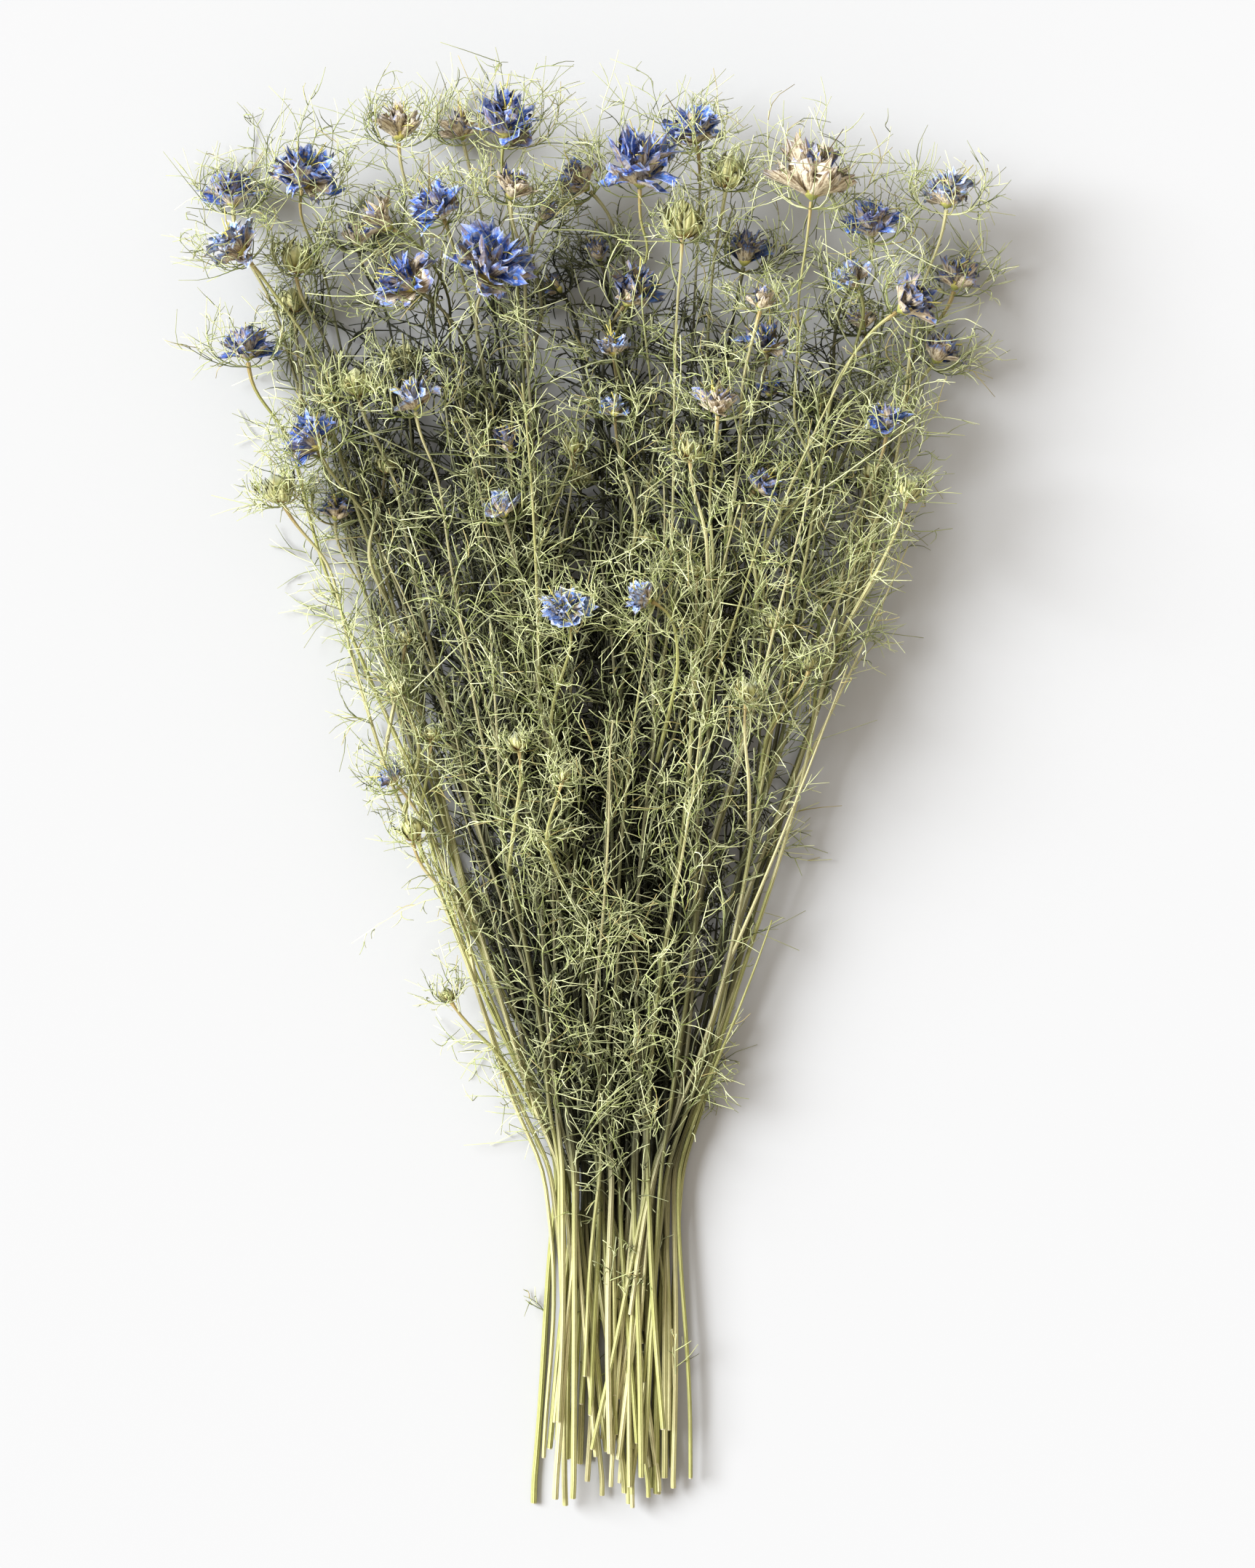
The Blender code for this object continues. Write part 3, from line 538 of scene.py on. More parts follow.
def stem_radius(y, tip_y):
    """Half of a stem's width across its corners: it tapers evenly from the cut end to the head."""
    share = np.clip((y - CUT_END_Y) / (tip_y - CUT_END_Y), 0, 1)
    return (STEM_WIDTH + (STEM_TIP_WIDTH - STEM_WIDTH) * share) / math.sqrt(2)


def lay_stems(sprays, heads, rng):
    """Gives every stem its line over the stations: a fan above the neck, close together below it."""
    stations = NECK_TOP_Y + STATION_STEP * np.arange(*STATIONS)
    stems = []
    for number, spray in enumerate(sprays):
        band = spray["band"]
        middle = (spray["place"] - (BAND_SPRAYS[band] - 1) / 2) * BAND_PITCH[band]
        for place, head in enumerate(spray["heads"]):
            step = place - (len(spray["heads"]) - 1) / 2
            neck_x = middle + step * NECK_STEM_PITCH
            approach = head["base"] - head["axis"] * APPROACH * head["width"]
            approach[2] = max(approach[2], STEM_WIDTH / 2 + 0.5)
            share = np.clip((stations - NECK_TOP_Y) / (approach[1] - NECK_TOP_Y), 0, 1)
            wave = rng.uniform(-WAVE, WAVE) * np.sin(stations / rng.uniform(*WAVE_RUNS) + rng.uniform(0, 6))
            below = np.clip(stations / CUT_END_Y, 0, 1)
            x = neck_x + (approach[0] - neck_x) * share**FAN_POWER
            x += wave * share * (1 - share) * 2
            x += (BAND_CUT_SHIFT[band] + step * (CUT_END_PITCH - NECK_STEM_PITCH)) * below
            radii = stem_radius(stations, head["base"][1])
            if band == 0:
                share = np.clip(1 - (approach[1] - stations) / FLOOR_LIFT_RUN, 0, 1)
            neck_z = radii / math.sqrt(2) + band * BAND_STEP
            z = neck_z + (approach[2] - neck_z) * share**RISE_POWER
            stem = {
                "spray": number, "head": head, "line": np.stack([x, z], axis=1),
                "last": int(np.searchsorted(stations, approach[1] - 6.0)),
                "radii": radii,
                "cut_y": CUT_END_Y + rng.uniform(0, CUT_END_SPREAD),
            }
            head["stem"] = stem
            stems.append(stem)
    stems[len(stems) // 2]["cut_y"] = CUT_END_Y
    space_stems(stems, stations, heads)
    for stem in stems:
        finish_stem(stem, stations)
    clear_paths(stems, heads)
    for stem in stems:
        keep = thin_out(stem["path"][:-1]) + [len(stem["path"]) - 1]
        stem["path"], stem["radii"] = stem["path"][keep], stem["radii"][keep]
    return stems


def space_stems(stems, stations, heads):
    """Pushes stems apart where they would touch, and clear of other heads, above the neck."""
    lines = np.stack([stem["line"] for stem in stems])
    radii = np.stack([stem["radii"] for stem in stems])
    spray = np.array([stem["spray"] for stem in stems])
    last = np.array([stem["last"] for stem in stems])
    other = spray[:, None] != spray[None]
    own_head = np.array([[stem["head"] is head for head in heads] for stem in stems])
    free = [j for j, y in enumerate(stations) if y > NECK_TOP_Y + 1.0]
    for turn in range(SPACING_ROUNDS):
        for j in free:
            here = np.where(last > j)[0]
            spots, wide = lines[here, j], radii[here, j]
            apart = spots[:, None] - spots[None]
            distance = np.linalg.norm(apart, axis=2) + np.eye(len(here)) * FAR_AWAY
            needed = (wide[:, None] + wide[None] + STEM_GAP) * other[np.ix_(here, here)]
            short = np.clip(needed - distance, 0, None)
            push = (apart / distance[..., None] * short[..., None] * STEM_PUSH).sum(axis=1)
            for k, head in enumerate(heads):
                reach = HEAD_REACH * head["width"] + BLOOM_GAP + STEM_WIDTH / 2
                along = stations[j] - head["centre"][1]
                if abs(along) >= reach:
                    continue
                away = spots - head["centre"][[0, 2]]
                gap = np.linalg.norm(away, axis=1) + 1e-6
                deep = np.clip(math.sqrt(reach**2 - along**2) - gap, 0, None) * ~own_head[here, k]
                push += away / gap[:, None] * deep[:, None] * BALL_PUSH
            lines[here, j] += push
        if turn < SMOOTHING_ROUNDS:
            bend = lines[:, :-2] + lines[:, 2:] - 2 * lines[:, 1:-1]
            lines[:, free[0]:-1] += SMOOTHING * bend[:, free[0] - 1:]
        lines[:, :, 1] = np.maximum(lines[:, :, 1], radii / math.sqrt(2))
    for stem, line in zip(stems, lines):
        stem["line"] = line


def finish_stem(stem, stations):
    """A stem's path in space: cut end, stations, and a short straight run square to the head."""
    first = int(np.searchsorted(stations, stem["cut_y"] + 5.0))
    end = stem["line"][max(first - 1, 0)]
    path = [[end[0], stem["cut_y"], end[1]]]
    path += [[stem["line"][j][0], stations[j], stem["line"][j][1]] for j in range(first, stem["last"])]
    head = stem["head"]
    for back in (0.45 * head["width"], TIP_RUN, TOUCH_GAP):
        path.append(head["base"] - head["axis"] * back)
    stem["path"] = np.array(path)
    stem["radii"] = stem_radius(stem["path"][:, 1], head["base"][1])
    stem["path"][0, 2] = stem["path"][1, 2] + (stem["radii"][0] - stem["radii"][1]) / math.sqrt(2)


def clear_paths(stems, heads):
    """Pushes runs of stem clear of the heads and of other sprays' stems, all but their tips and necks."""
    centres = np.array([head["centre"] for head in heads])
    reaches = np.array([HEAD_REACH * head["width"] for head in heads])
    owners = np.concatenate([[stem["spray"]] * (len(stem["path"]) - 1) for stem in stems])
    own_head = [np.array([stem["head"] is head for head in heads]) for stem in stems]
    for _ in range(CLEARING_ROUNDS):
        starts = np.concatenate([stem["path"][:-1] for stem in stems])
        ends = np.concatenate([stem["path"][1:] for stem in stems])
        radii = np.concatenate([stem["radii"][:-1] for stem in stems])
        for number, stem in enumerate(stems):
            path, push = stem["path"], np.zeros_like(stem["path"])
            others = owners != stem["spray"]
            for i in range(len(path) - 1):
                if path[i + 1][1] < NECK_TOP_Y:
                    continue
                wide = stem["radii"][i]
                runs = closest(path[i], path[i + 1], starts[others], ends[others])
                balls = closest(path[i], path[i + 1], centres, centres)
                needed = np.where(own_head[number], 0, reaches + wide + STEM_GAP)
                for (gap, share, away), need, ease in ((runs, radii[others] + wide + STEM_GAP, STEM_PUSH),
                                                       (balls, needed, BALL_PUSH)):
                    step = away * (np.clip(need - gap, 0, None) * ease / np.maximum(gap, 0.01))[:, None]
                    push[i] += (step * (1 - share)[:, None]).sum(axis=0)
                    push[i + 1] += (step * share[:, None]).sum(axis=0)
            push[path[:, 1] < NECK_TOP_Y + 1.0] = 0
            push[-2:] = 0
            push[-3] *= 0.5
            path += push
            path[:, 2] = np.maximum(path[:, 2], stem["radii"] / math.sqrt(2))


def closest(a0, a1, b0, b1):
    """How near one straight run, a0 to a1, comes to many, b0 to b1: the distances, where along the
    first run each is, and the ways from the others to it."""
    d1, d2, r = a1 - a0, b1 - b0, a0 - b0
    a, e, f = d1 @ d1, (d2 * d2).sum(1) + 1e-9, (d2 * r).sum(1)
    c, b = r @ d1, d2 @ d1
    s = np.clip((b * f - c * e) / np.maximum(a * e - b * b, 1e-6), 0, 1)
    t = np.clip((b * s + f) / e, 0, 1)
    s = np.clip((b * t - c) / max(a, 1e-9), 0, 1)
    away = (a0 + s[:, None] * d1) - (b0 + t[:, None] * d2)
    return np.linalg.norm(away, axis=1), s, away


class Room:
    """What is already in place: straight runs of stem and thread, and the balls that hold the heads."""

    def __init__(self, heads):
        self.starts, self.ends, self.radii, self.owners = [], [], [], []
        self.centres = np.array([head["centre"] for head in heads])
        self.reaches = np.array([HEAD_REACH * head["width"] for head in heads])

    def add(self, path, radii, owner):
        """Takes up the room along a path."""
        for a, b, r in zip(path[:-1], path[1:], radii):
            self.starts.append(a)
            self.ends.append(b)
            self.radii.append(r)
            self.owners.append(owner)
        lists = (self.starts, self.ends, self.radii, self.owners)
        self.arrays = tuple(np.array(values) for values in lists)

    def spare(self, path, radius, ignore, own_head):
        """The smallest gap left round a path, less the gap it needs. One stem and one head may touch it."""
        starts, ends, radii, owners = self.arrays
        others = owners != ignore
        least = min(point[2] for point in path) - radius - 0.1
        for a, b in zip(path[:-1], path[1:]):
            if others.any():
                runs = closest(a, b, starts[others], ends[others])[0] - radii[others]
                least = min(least, runs.min() - radius - SHOOT_GAP)
            balls = closest(a, b, self.centres, self.centres)[0] - self.reaches - radius - SHOOT_GAP
            balls[own_head] = FAR_AWAY
            least = min(least, balls.min())
        return least


def forks_below(head, stems):
    """The three nearest stems that a side shoot to this head could leave, and the points where it would."""
    fork_y = head["base"][1] - SHOOT_RUN - 1.6 * head["width"]
    forks = []
    for number, stem in enumerate(stems):
        path = stem["path"]
        if path[1][1] < fork_y < path[-2][1] - 10.0:
            point = np.array([np.interp(fork_y, path[:, 1], path[:, i]) for i in range(3)])
            forks.append((np.linalg.norm(point - head["base"]), number, point))
    return sorted(forks, key=lambda found: found[0])[:3]


def grow_shoots(heads, stems, room, rng):
    """Side shoots: each forks from a stem near below its head, by the way that leaves the most room."""
    for number, head in enumerate(heads):
        if head["own_stem"]:
            continue
        neck = head["base"] - head["axis"] * (4.0 + 0.4 * head["width"])
        end = head["base"] - head["axis"] * TOUCH_GAP
        forks = forks_below(head, stems)
        most = -np.inf
        for attempt in range(SHOOT_TRIES):
            _, carrier, fork_point = forks[attempt % len(forks)]
            middle = (fork_point + neck) / 2 + [rng.uniform(*span) for span in SHOOT_BOWS]
            middle[2] = max(middle[2], 1.5)
            path = np.array([fork_point, middle, neck, end])
            spare = room.spare(path, SHOOT_RADIUS, f"stem {carrier}", number)
            if spare > most:
                most, head["path"], head["on_stem"] = spare, path, carrier
            if spare > 0:
                break
        room.add(head["path"], [SHOOT_RADIUS] * 3, f"shoot {number}")


def thin_out(path):
    """The places in a path that it needs to stay within the slack of where it was."""
    if len(path) < 3:
        return [0, len(path) - 1]
    away = np.array([closest(p, p, path[:1], path[-1:])[0][0] for p in path[1:-1]])
    worst = int(away.argmax()) + 1
    if away.max() < PATH_SLACK:
        return [0, len(path) - 1]
    return thin_out(path[:worst + 1])[:-1] + [worst + i for i in thin_out(path[worst:])]


def even_path(path, step):
    """A path in runs of about one step, its corners rounded by mixing each point with its neighbours."""
    lengths = np.concatenate([[0], np.cumsum(np.linalg.norm(np.diff(path, axis=0), axis=1))])
    where = np.linspace(0, lengths[-1], max(int(lengths[-1] / step), 8) + 1)
    even = np.stack([np.interp(where, lengths, path[:, i]) for i in range(3)], axis=1)
    for _ in range(ROUNDING):
        even[1:-1] = 0.25 * even[:-2] + 0.5 * even[1:-1] + 0.25 * even[2:]
    return even

def units(vectors):
    """The vectors of an array at a length of 1."""
    return vectors / np.maximum(np.linalg.norm(vectors, axis=-1, keepdims=True), 1e-9)


class Surface:
    """Collects grids of points for one mesh, with four numbers at each point for its materials."""

    def __init__(self):
        self.points, self.looks, self.quads, self.caps = [], [], [], []
        self.maps, self.kinds, self.count = [], [], 0

    def add_grid(self, points, looks, kind):
        """Adds n closed grids at once: rows along a shape, and columns round it that meet again.

        The map's first number runs from 0 to 1 round the shape and its second from 0 to 1 along it."""
        n, rows, columns = points.shape[:3]
        first = self.count + np.arange(n)[:, None, None] * rows * columns
        row = np.arange(rows - 1)[None, :, None] * columns
        left = np.arange(columns)[None, None]
        right = (left + 1) % columns
        corners = (row + left, row + right, row + columns + right, row + columns + left)
        self.quads.append(np.stack([first + corner for corner in corners], axis=-1).reshape(-1, 4))
        u = np.stack([left, left + 1, left + 1, left], axis=-1) / columns
        v = (np.arange(rows - 1)[:, None, None] + np.array([0, 0, 1, 1])) / (rows - 1)
        shape = (n, rows - 1, columns, 4)
        uv = np.stack([np.broadcast_to(u, shape), np.broadcast_to(v, shape)], axis=-1)
        self.maps.append(uv.reshape(-1, 2))
        self.kinds.append(np.full(n * (rows - 1) * columns, kind))
        self.points.append(points.reshape(-1, 3))
        self.looks.append(np.broadcast_to(looks, points.shape[:3] + (4,)).reshape(-1, 4))
        if columns == 3:
            self.caps.append((first[:, 0] + (rows - 1) * columns + np.arange(3), kind))
        self.count += n * rows * columns

    def add_tubes(self, paths, radii, sides, looks, kind):
        """Adds n tubes along n paths of k points: at each point, a ring of corners square to the path."""
        tangents = units(np.gradient(paths, axis=1))
        least = np.abs(tangents).mean(axis=1).argmin(axis=1)
        across = units(np.cross(tangents, np.eye(3)[least][:, None]))
        up = np.cross(tangents, across)
        angles = 2 * math.pi * np.arange(sides)[:, None] / sides
        ring = across[:, :, None] * np.cos(angles) + up[:, :, None] * np.sin(angles)
        radii = np.broadcast_to(radii, paths.shape[:2])
        looks = np.broadcast_to(looks, paths.shape[:2] + (4,))
        self.add_grid(paths[:, :, None] + ring * radii[:, :, None, None], looks[:, :, None], kind)

    def build(self, name, materials):
        """Makes the mesh object, in metres. The caps close the tips of three-sided tubes."""
        quads = np.vstack(self.quads)
        caps = np.vstack([corners for corners, _ in self.caps]) if self.caps else np.zeros((0, 3), int)
        kinds = np.concatenate(self.kinds + [np.full(len(corners), kind) for corners, kind in self.caps])
        mesh = bpy.data.meshes.new(name)
        mesh.vertices.add(self.count)
        mesh.vertices.foreach_set("co", (np.vstack(self.points) * MM).ravel())
        mesh.loops.add(quads.size + caps.size)
        mesh.loops.foreach_set("vertex_index", np.concatenate([quads.ravel(), caps.ravel()]))
        mesh.polygons.add(len(quads) + len(caps))
        starts = np.concatenate([np.arange(len(quads)) * 4, quads.size + np.arange(len(caps)) * 3])
        mesh.polygons.foreach_set("loop_start", starts)
        mesh.polygons.foreach_set("use_smooth", np.ones(len(starts), bool))
        mesh.polygons.foreach_set("material_index", kinds)
        maps = np.vstack(self.maps + [np.full((caps.size, 2), 0.999)])
        mesh.uv_layers.new(name="round_and_along").data.foreach_set("uv", maps.ravel())
        looks = mesh.attributes.new("look", "FLOAT_COLOR", "POINT")
        looks.data.foreach_set("color", np.vstack(self.looks).ravel())
        for material in materials:
            mesh.materials.append(material)
        mesh.update(calc_edges=True)
        mesh.validate()
        made = bpy.data.objects.new(name, mesh)
        bpy.context.scene.collection.objects.link(made)
        return made


def points_on(paths, shares):
    """Points and directions at shares from 0 to 1 along n paths of k points, for n rows of shares."""
    place = shares * (paths.shape[1] - 1)
    low = np.clip(place.astype(int), 0, paths.shape[1] - 2)
    row = np.arange(len(paths))[:, None]
    start, end = paths[row, low], paths[row, low + 1]
    return start + (end - start) * (place - low)[..., None], units(end - start)


def offshoots(parents, rng, count, span, angle, length, curl, points):
    """Threads that leave n parents at count places each, to one side and the other in turn.

    A thread is start + reach * (t * way + t squared * bend + t cubed * hook), for t from 0 to 1: it
    leaves at an angle to its parent, curls to a side of its own, and hooks over at its tip."""
    n = len(parents)
    shares = span[0] + (span[1] - span[0]) * (np.arange(count) + rng.random((n, count))) / count
    start, along = points_on(parents, shares)
    plane = units(rng.normal(size=(n, 1, 3)))
    side = units(np.cross(along, plane)) * np.where(np.arange(count) % 2, 1, -1)[None, :, None]
    side += rng.normal(scale=OFFSHOOT_SCATTER, size=side.shape)
    side = units(side - (side * along).sum(axis=-1, keepdims=True) * along)
    lean = np.radians(angle) * rng.uniform(*OFFSHOOT_LEANS, (n, count, 1))
    way = along * np.cos(lean) + side * np.sin(lean)
    length = np.broadcast_to(length, (n,))[:, None] * (OFFSHOOT_TAPER[0] - OFFSHOOT_TAPER[1] * shares)
    reach = (length * rng.uniform(*OFFSHOOT_LENGTHS, (n, count)))[..., None, None]
    bend = along * OFFSHOOT_ONWARD + rng.normal(scale=curl * OFFSHOOT_BEND, size=(n, count, 3))
    hook = rng.normal(scale=curl * OFFSHOOT_HOOK, size=(n, count, 3))
    t = np.linspace(0, 1, points)[:, None]
    curve = t * way[:, :, None] + t**2 * bend[:, :, None] + t**3 * hook[:, :, None]
    return (start[:, :, None] + reach * curve).reshape(-1, points, 3)


def aside_in_fan(points, lowest=-np.inf):
    """How far points lie from the fan's middle line, as a share of the fan's half width at their height.

    The fan narrows no more below the lowest height."""
    x, y = points[..., 0], points[..., 1]
    return np.abs(x - FAN_LEAN * y) / (FAN_NECK + FAN_SLOPE * np.maximum(y, lowest))


def depth_inside(points):
    """How deep points lie in the bunch, where painted shade darkens them: 1 at the floor in its middle.

    It is the share of the bunch's height that is above a point, times a share that falls to 0 at the
    sides of the fan, at the cut ends and among the heads."""
    y, z = points[..., 1], points[..., 2]
    over = np.clip(1 - z / (BUNCH_THICK + BUNCH_SWELL * np.maximum(y, 0)), 0, 1)
    side = np.clip((1 - aside_in_fan(points, 0)) / DEEP_SIDE, 0, 1)
    foot = np.clip((y - DEEP_FROM_Y) / DEEP_FROM_RUN, 0, 1)
    return over * side * foot * np.clip((DEEP_TO_Y - y) / DEEP_TO_RUN, 0, 1)


def thread_looks(threads, rng, tone, spread):
    """A thread's numbers: how far along it, its tone, a random number of its own, and its depth for painted
    shade.
    """
    n, k = threads.shape[:2]
    looks = np.zeros((n, k, 4))
    looks[..., 0] = np.linspace(0, 1, k)
    looks[..., 1] = np.clip(tone + rng.normal(scale=spread, size=(n, 1)), 0, 1)
    looks[..., 2] = rng.random((n, 1))
    looks[..., 3] = depth_inside(threads)
    return looks


def add_threads(surface, threads, radius, rng, tone):
    """Adds threads that narrow to a fine tip, without those that would leave the object's box, and
    without many of those that would lie across the face of a bloom. Points that would be under the
    surface bounce up from it, and threads deep inside the bunch are wider."""
    threads = threads.copy()
    threads[..., 2] += np.clip(THREAD_FLOOR - threads[..., 2], 0, None) * FLOOR_BOUNCE
    inside = ((threads > BOX_LOW) & (threads < BOX_HIGH)).all(axis=(1, 2))
    apart = np.linalg.norm(threads[:, :, None, :2] - FACES[:, :2], axis=-1)
    across = (apart < FACES[:, 3]) & (threads[:, :, None, 2] > FACES[:, 2])
    threads = threads[inside & ~(across.any(axis=(1, 2)) & (rng.random(len(threads)) < FACE_CLEAR))]
    taper = np.linspace(1.0, THREAD_TIP, threads.shape[1])
    looks = thread_looks(threads, rng, tone, TONE_SPREAD)
    surface.add_tubes(threads, radius * taper * (1 + DEEP_WIDENS * looks[..., 3]), 3, looks, THREADS)
    return threads


def add_fronds(surface, ribs, rng, sides, length, curl, radius, tone):
    """Divided fronds: ribs, threads to both sides of each rib, and shorter threads on those."""
    ribs = add_threads(surface, ribs, radius, rng, tone)
    threads = offshoots(ribs, rng, count=sides, length=length, curl=curl, **SIDE_THREADS)
    threads = add_threads(surface, threads, radius * SIDE_THREAD_RADIUS, rng, tone)
    if len(threads):
        threads = offshoots(threads, rng, length=length * SHORT_THREAD_LENGTH,
                            curl=curl * SHORT_THREAD_CURL, **SHORT_THREADS)
        add_threads(surface, threads, radius * SHORT_THREAD_RADIUS, rng, tone)


def leafy(ribs, rng):
    """The ribs that stay: all in the middle of the fan and near the heads, few at its lower sides."""
    bare = np.clip((aside_in_fan(ribs[:, 0]) - BARE_FROM) / BARE_OVER, 0, 1)
    bare = bare * np.clip((BARE_BELOW_Y - ribs[:, 0, 1]) / BARE_RUN, 0, 1)
    return ribs[rng.random(len(ribs)) > bare * BARE_SHARE]


def turned_about(axis, aside, turns):
    """Directions square to an axis, at turns in radians from the one that is also square to aside."""
    side = unit(np.cross(axis, aside))
    return side * np.cos(turns)[:, None] + np.cross(axis, side) * np.sin(turns)[:, None]


def bowl_ribs(head, rng, count):
    """The ribs of the mist round a head: cubic Bezier curves that leave the stem under the head, pass
    outside the petals and run on ahead of them, spread or closed in by a random share."""
    width, axis, base = head["width"], head["axis"], head["base"]
    turns = 2 * math.pi * (np.arange(count) + rng.uniform(-MIST_TURN, MIST_TURN, count)) / count
    radial = turned_about(axis, MIST_ASIDE, turns)
    reach = (MIST_CLEAR + MIST_SPREAD * width) * rng.uniform(*MIST_SPREADS, (count, 1))
    ahead = (MIST_CLEAR + MIST_AHEAD * width) * rng.uniform(*MIST_AHEADS, (count, 1))
    swing = rng.normal(scale=MIST_SWING, size=(count, 3)) * width
    p0 = base - axis * MIST_ROOT * width + radial * MIST_ROOT_RADIUS
    p1 = base + radial * reach * MIST_OUT[0] - axis * MIST_ROOT * width
    p2 = base + radial * reach * MIST_OUT[1] + axis * ahead * MIST_HALFWAY
    p3 = base + radial * reach * rng.uniform(*MIST_TIPS, (count, 1)) + axis * ahead + swing
    t = np.linspace(0, 1, MIST_POINTS)[None, :, None]
    p0, p1, p2, p3 = (p[:, None] for p in (p0, p1, p2, p3))
    return (1 - t)**3 * p0 + 3 * t * (1 - t)**2 * p1 + 3 * t**2 * (1 - t) * p2 + t**3 * p3


def add_petals(surface, head, rng, ring, kind):
    """A ring of petals, each a closed thin shell over t from root to tip and s from side to side.

    Its middle line starts at the head's core and turns by tilt + curl * t away from the axis, and the
    blade twists by an angle * t. Its half width is breadth * (claw + (1 - claw) * the 0.8th power of
    sin(pi * blunt * t to the power 1.2)). The sides fold back by fold * |s|, and crease * three waves,
    which are sines of s and t, crumples the blade. A ragged rim comes from a slip along the petal: sines
    of s times t to the fourth, less a share of s squared times t cubed. The front and the back of the
    shell part by sin(pi * t)."""
    count, tilt, curl, length, breadth, root, claw, fold, crease, paper, start, unruly, blunt = ring
    width, axis = head["width"], head["axis"]
    grown = SMALL_BLOOM_SHARE + (1 - SMALL_BLOOM_SHARE) * width / FULL_BLOOM
    count = round(count * min(grown, MOST_PETALS))
    each = (count, 1, 1)
    turns = 2 * math.pi * (np.arange(count) + rng.uniform(-PETAL_TURN, PETAL_TURN, count) + start) / count
    radial = turned_about(axis, HEAD_ASIDE, turns)
    lengths = length * width * rng.uniform(*PETAL_LENGTHS, each)
    breadths = 0.5 * breadth * width * rng.uniform(*PETAL_BREADTHS, each)
    t = np.linspace(0, 1, PETAL_ROWS)[None, :, None]
    lean = np.radians(tilt + rng.uniform(-PETAL_LEAN, PETAL_LEAN, each)
                      + (curl + unruly * rng.uniform(-1, 1, each)) * t)
    radial, axis = radial[:, None], axis[None, None]
    along = axis * np.cos(lean) + radial * np.sin(lean)
    outward = radial * np.cos(lean) - axis * np.sin(lean)
    across = np.cross(along, outward)
    twist = np.radians(rng.uniform(-PETAL_TWIST, PETAL_TWIST, each)) * t
    across, outward = (across * np.cos(twist) + outward * np.sin(twist),
                       outward * np.cos(twist) - across * np.sin(twist))
    runs = np.concatenate([np.zeros((count, 1, 3)), along[:, :-1] * lengths / (PETAL_ROWS - 1)], axis=1)
    middle = head["base"] + axis * root * width + radial * PETAL_ROOT * width + runs.cumsum(axis=1)
    front = np.linspace(-1, 1, PETAL_COLUMNS)
    s = np.concatenate([front, front[1:-1][::-1]])[None, None]
    back = np.concatenate([np.zeros(PETAL_COLUMNS), np.ones(PETAL_COLUMNS - 2)])[None, None]
    half = breadths * (claw + (1 - claw) * np.sin(math.pi * blunt * t**1.2) ** 0.8)
    phase = rng.uniform(0, 2 * math.pi, (7, *each))
    wave = 0.20 * np.abs(s) ** 1.5 * np.sin(3.1 * s + phase[0] + 6.5 * t)
    wave = wave + 0.16 * np.sin(5.3 * s + phase[1]) * np.sin(7.0 * t + phase[2])
    wave = wave + 0.10 * np.sin(9.5 * s + phase[3] + 4.0 * t) * t
    ragged = 0.14 * np.sin(6.0 * s + phase[4]) + 0.12 * np.sin(11.0 * s + phase[5])
    lift = half * (fold * np.abs(s) + crease * wave * np.sqrt(t))
    shell = PETAL_SHELL * np.sin(math.pi * t) * (back - 0.5)
    slip = lengths * (ragged * t**4 - 0.10 * s**2 * t**3 + 0.05 * np.sin(8.0 * t + phase[6]) * s)
    points = (middle[:, :, None] + across[:, :, None] * (half * s)[..., None]
              + outward[:, :, None] * (shell - lift)[..., None] + along[:, :, None] * slip[..., None])
    points[..., 2] = np.maximum(points[..., 2], PETAL_FLOOR)
    looks = np.zeros(points.shape[:3] + (4,))
    looks[..., 0] = t
    looks[..., 1] = back
    papery = rng.random(each) < paper
    looks[..., 2] = np.where(papery, 1.0, PETAL_TONES * rng.random(each))
    looks[..., 3] = np.abs(s)
    kept = rng.random(count) >= (PETAL_LOSS if kind == PETALS else 0)
    surface.add_grid(points[kept], looks[kept], kind)


def add_core(surface, head, rng, kind):
    """A head's core: a low ribbed egg. For t from 0 to 1 along the axis, its radius is the 0.75th power
    of sin(pi * t), with ribs that are a cosine of the turn round the axis."""
    width, axis, base = head["width"], head["axis"], head["base"]
    side = unit(np.cross(axis, HEAD_ASIDE))
    other = np.cross(axis, side)
    size = (BUD_SIZE if kind == BUDS else CORE_SIZE) * width
    t = np.linspace(0.02, 1, CORE_ROWS)[:, None]
    turn = 2 * math.pi * np.arange(CORE_SIDES)[None] / CORE_SIDES
    ribbed = 1 + CORE_RIDGE * np.cos(CORE_RIDGES * turn)
    radius = size * CORE_WIDTH * np.sin(math.pi * t) ** 0.75 * ribbed
    rise = size * CORE_RISE * t
    points = (base + axis * rise[..., None] + side * (radius * np.cos(turn))[..., None]
              + other * (radius * np.sin(turn))[..., None])
    looks = np.zeros(points.shape[:2] + (4,))
    looks[..., 0] = t
    looks[..., 1] = 1.0
    looks[..., 2] = rng.random()
    surface.add_grid(points[None], looks[None], kind)


def add_styles(surface, head, rng):
    """The curved styles and stamens in the middle of a bloom, as short threads from its core."""
    width, axis = head["width"], head["axis"]
    core = head["base"] + axis * STYLE_ROOT * width
    line = np.linspace(core, core + axis * STYLE_RUN * width, 4)[None]
    styles = offshoots(line, rng, length=STYLE_LENGTH * width, **STYLES)
    looks = thread_looks(styles, rng, STYLE_TONE, STYLE_TONE_SPREAD)
    radii = STYLE_RADIUS * np.linspace(1.0, STYLE_TIP, styles.shape[1])
    surface.add_tubes(styles, radii, 3, looks, CORE)


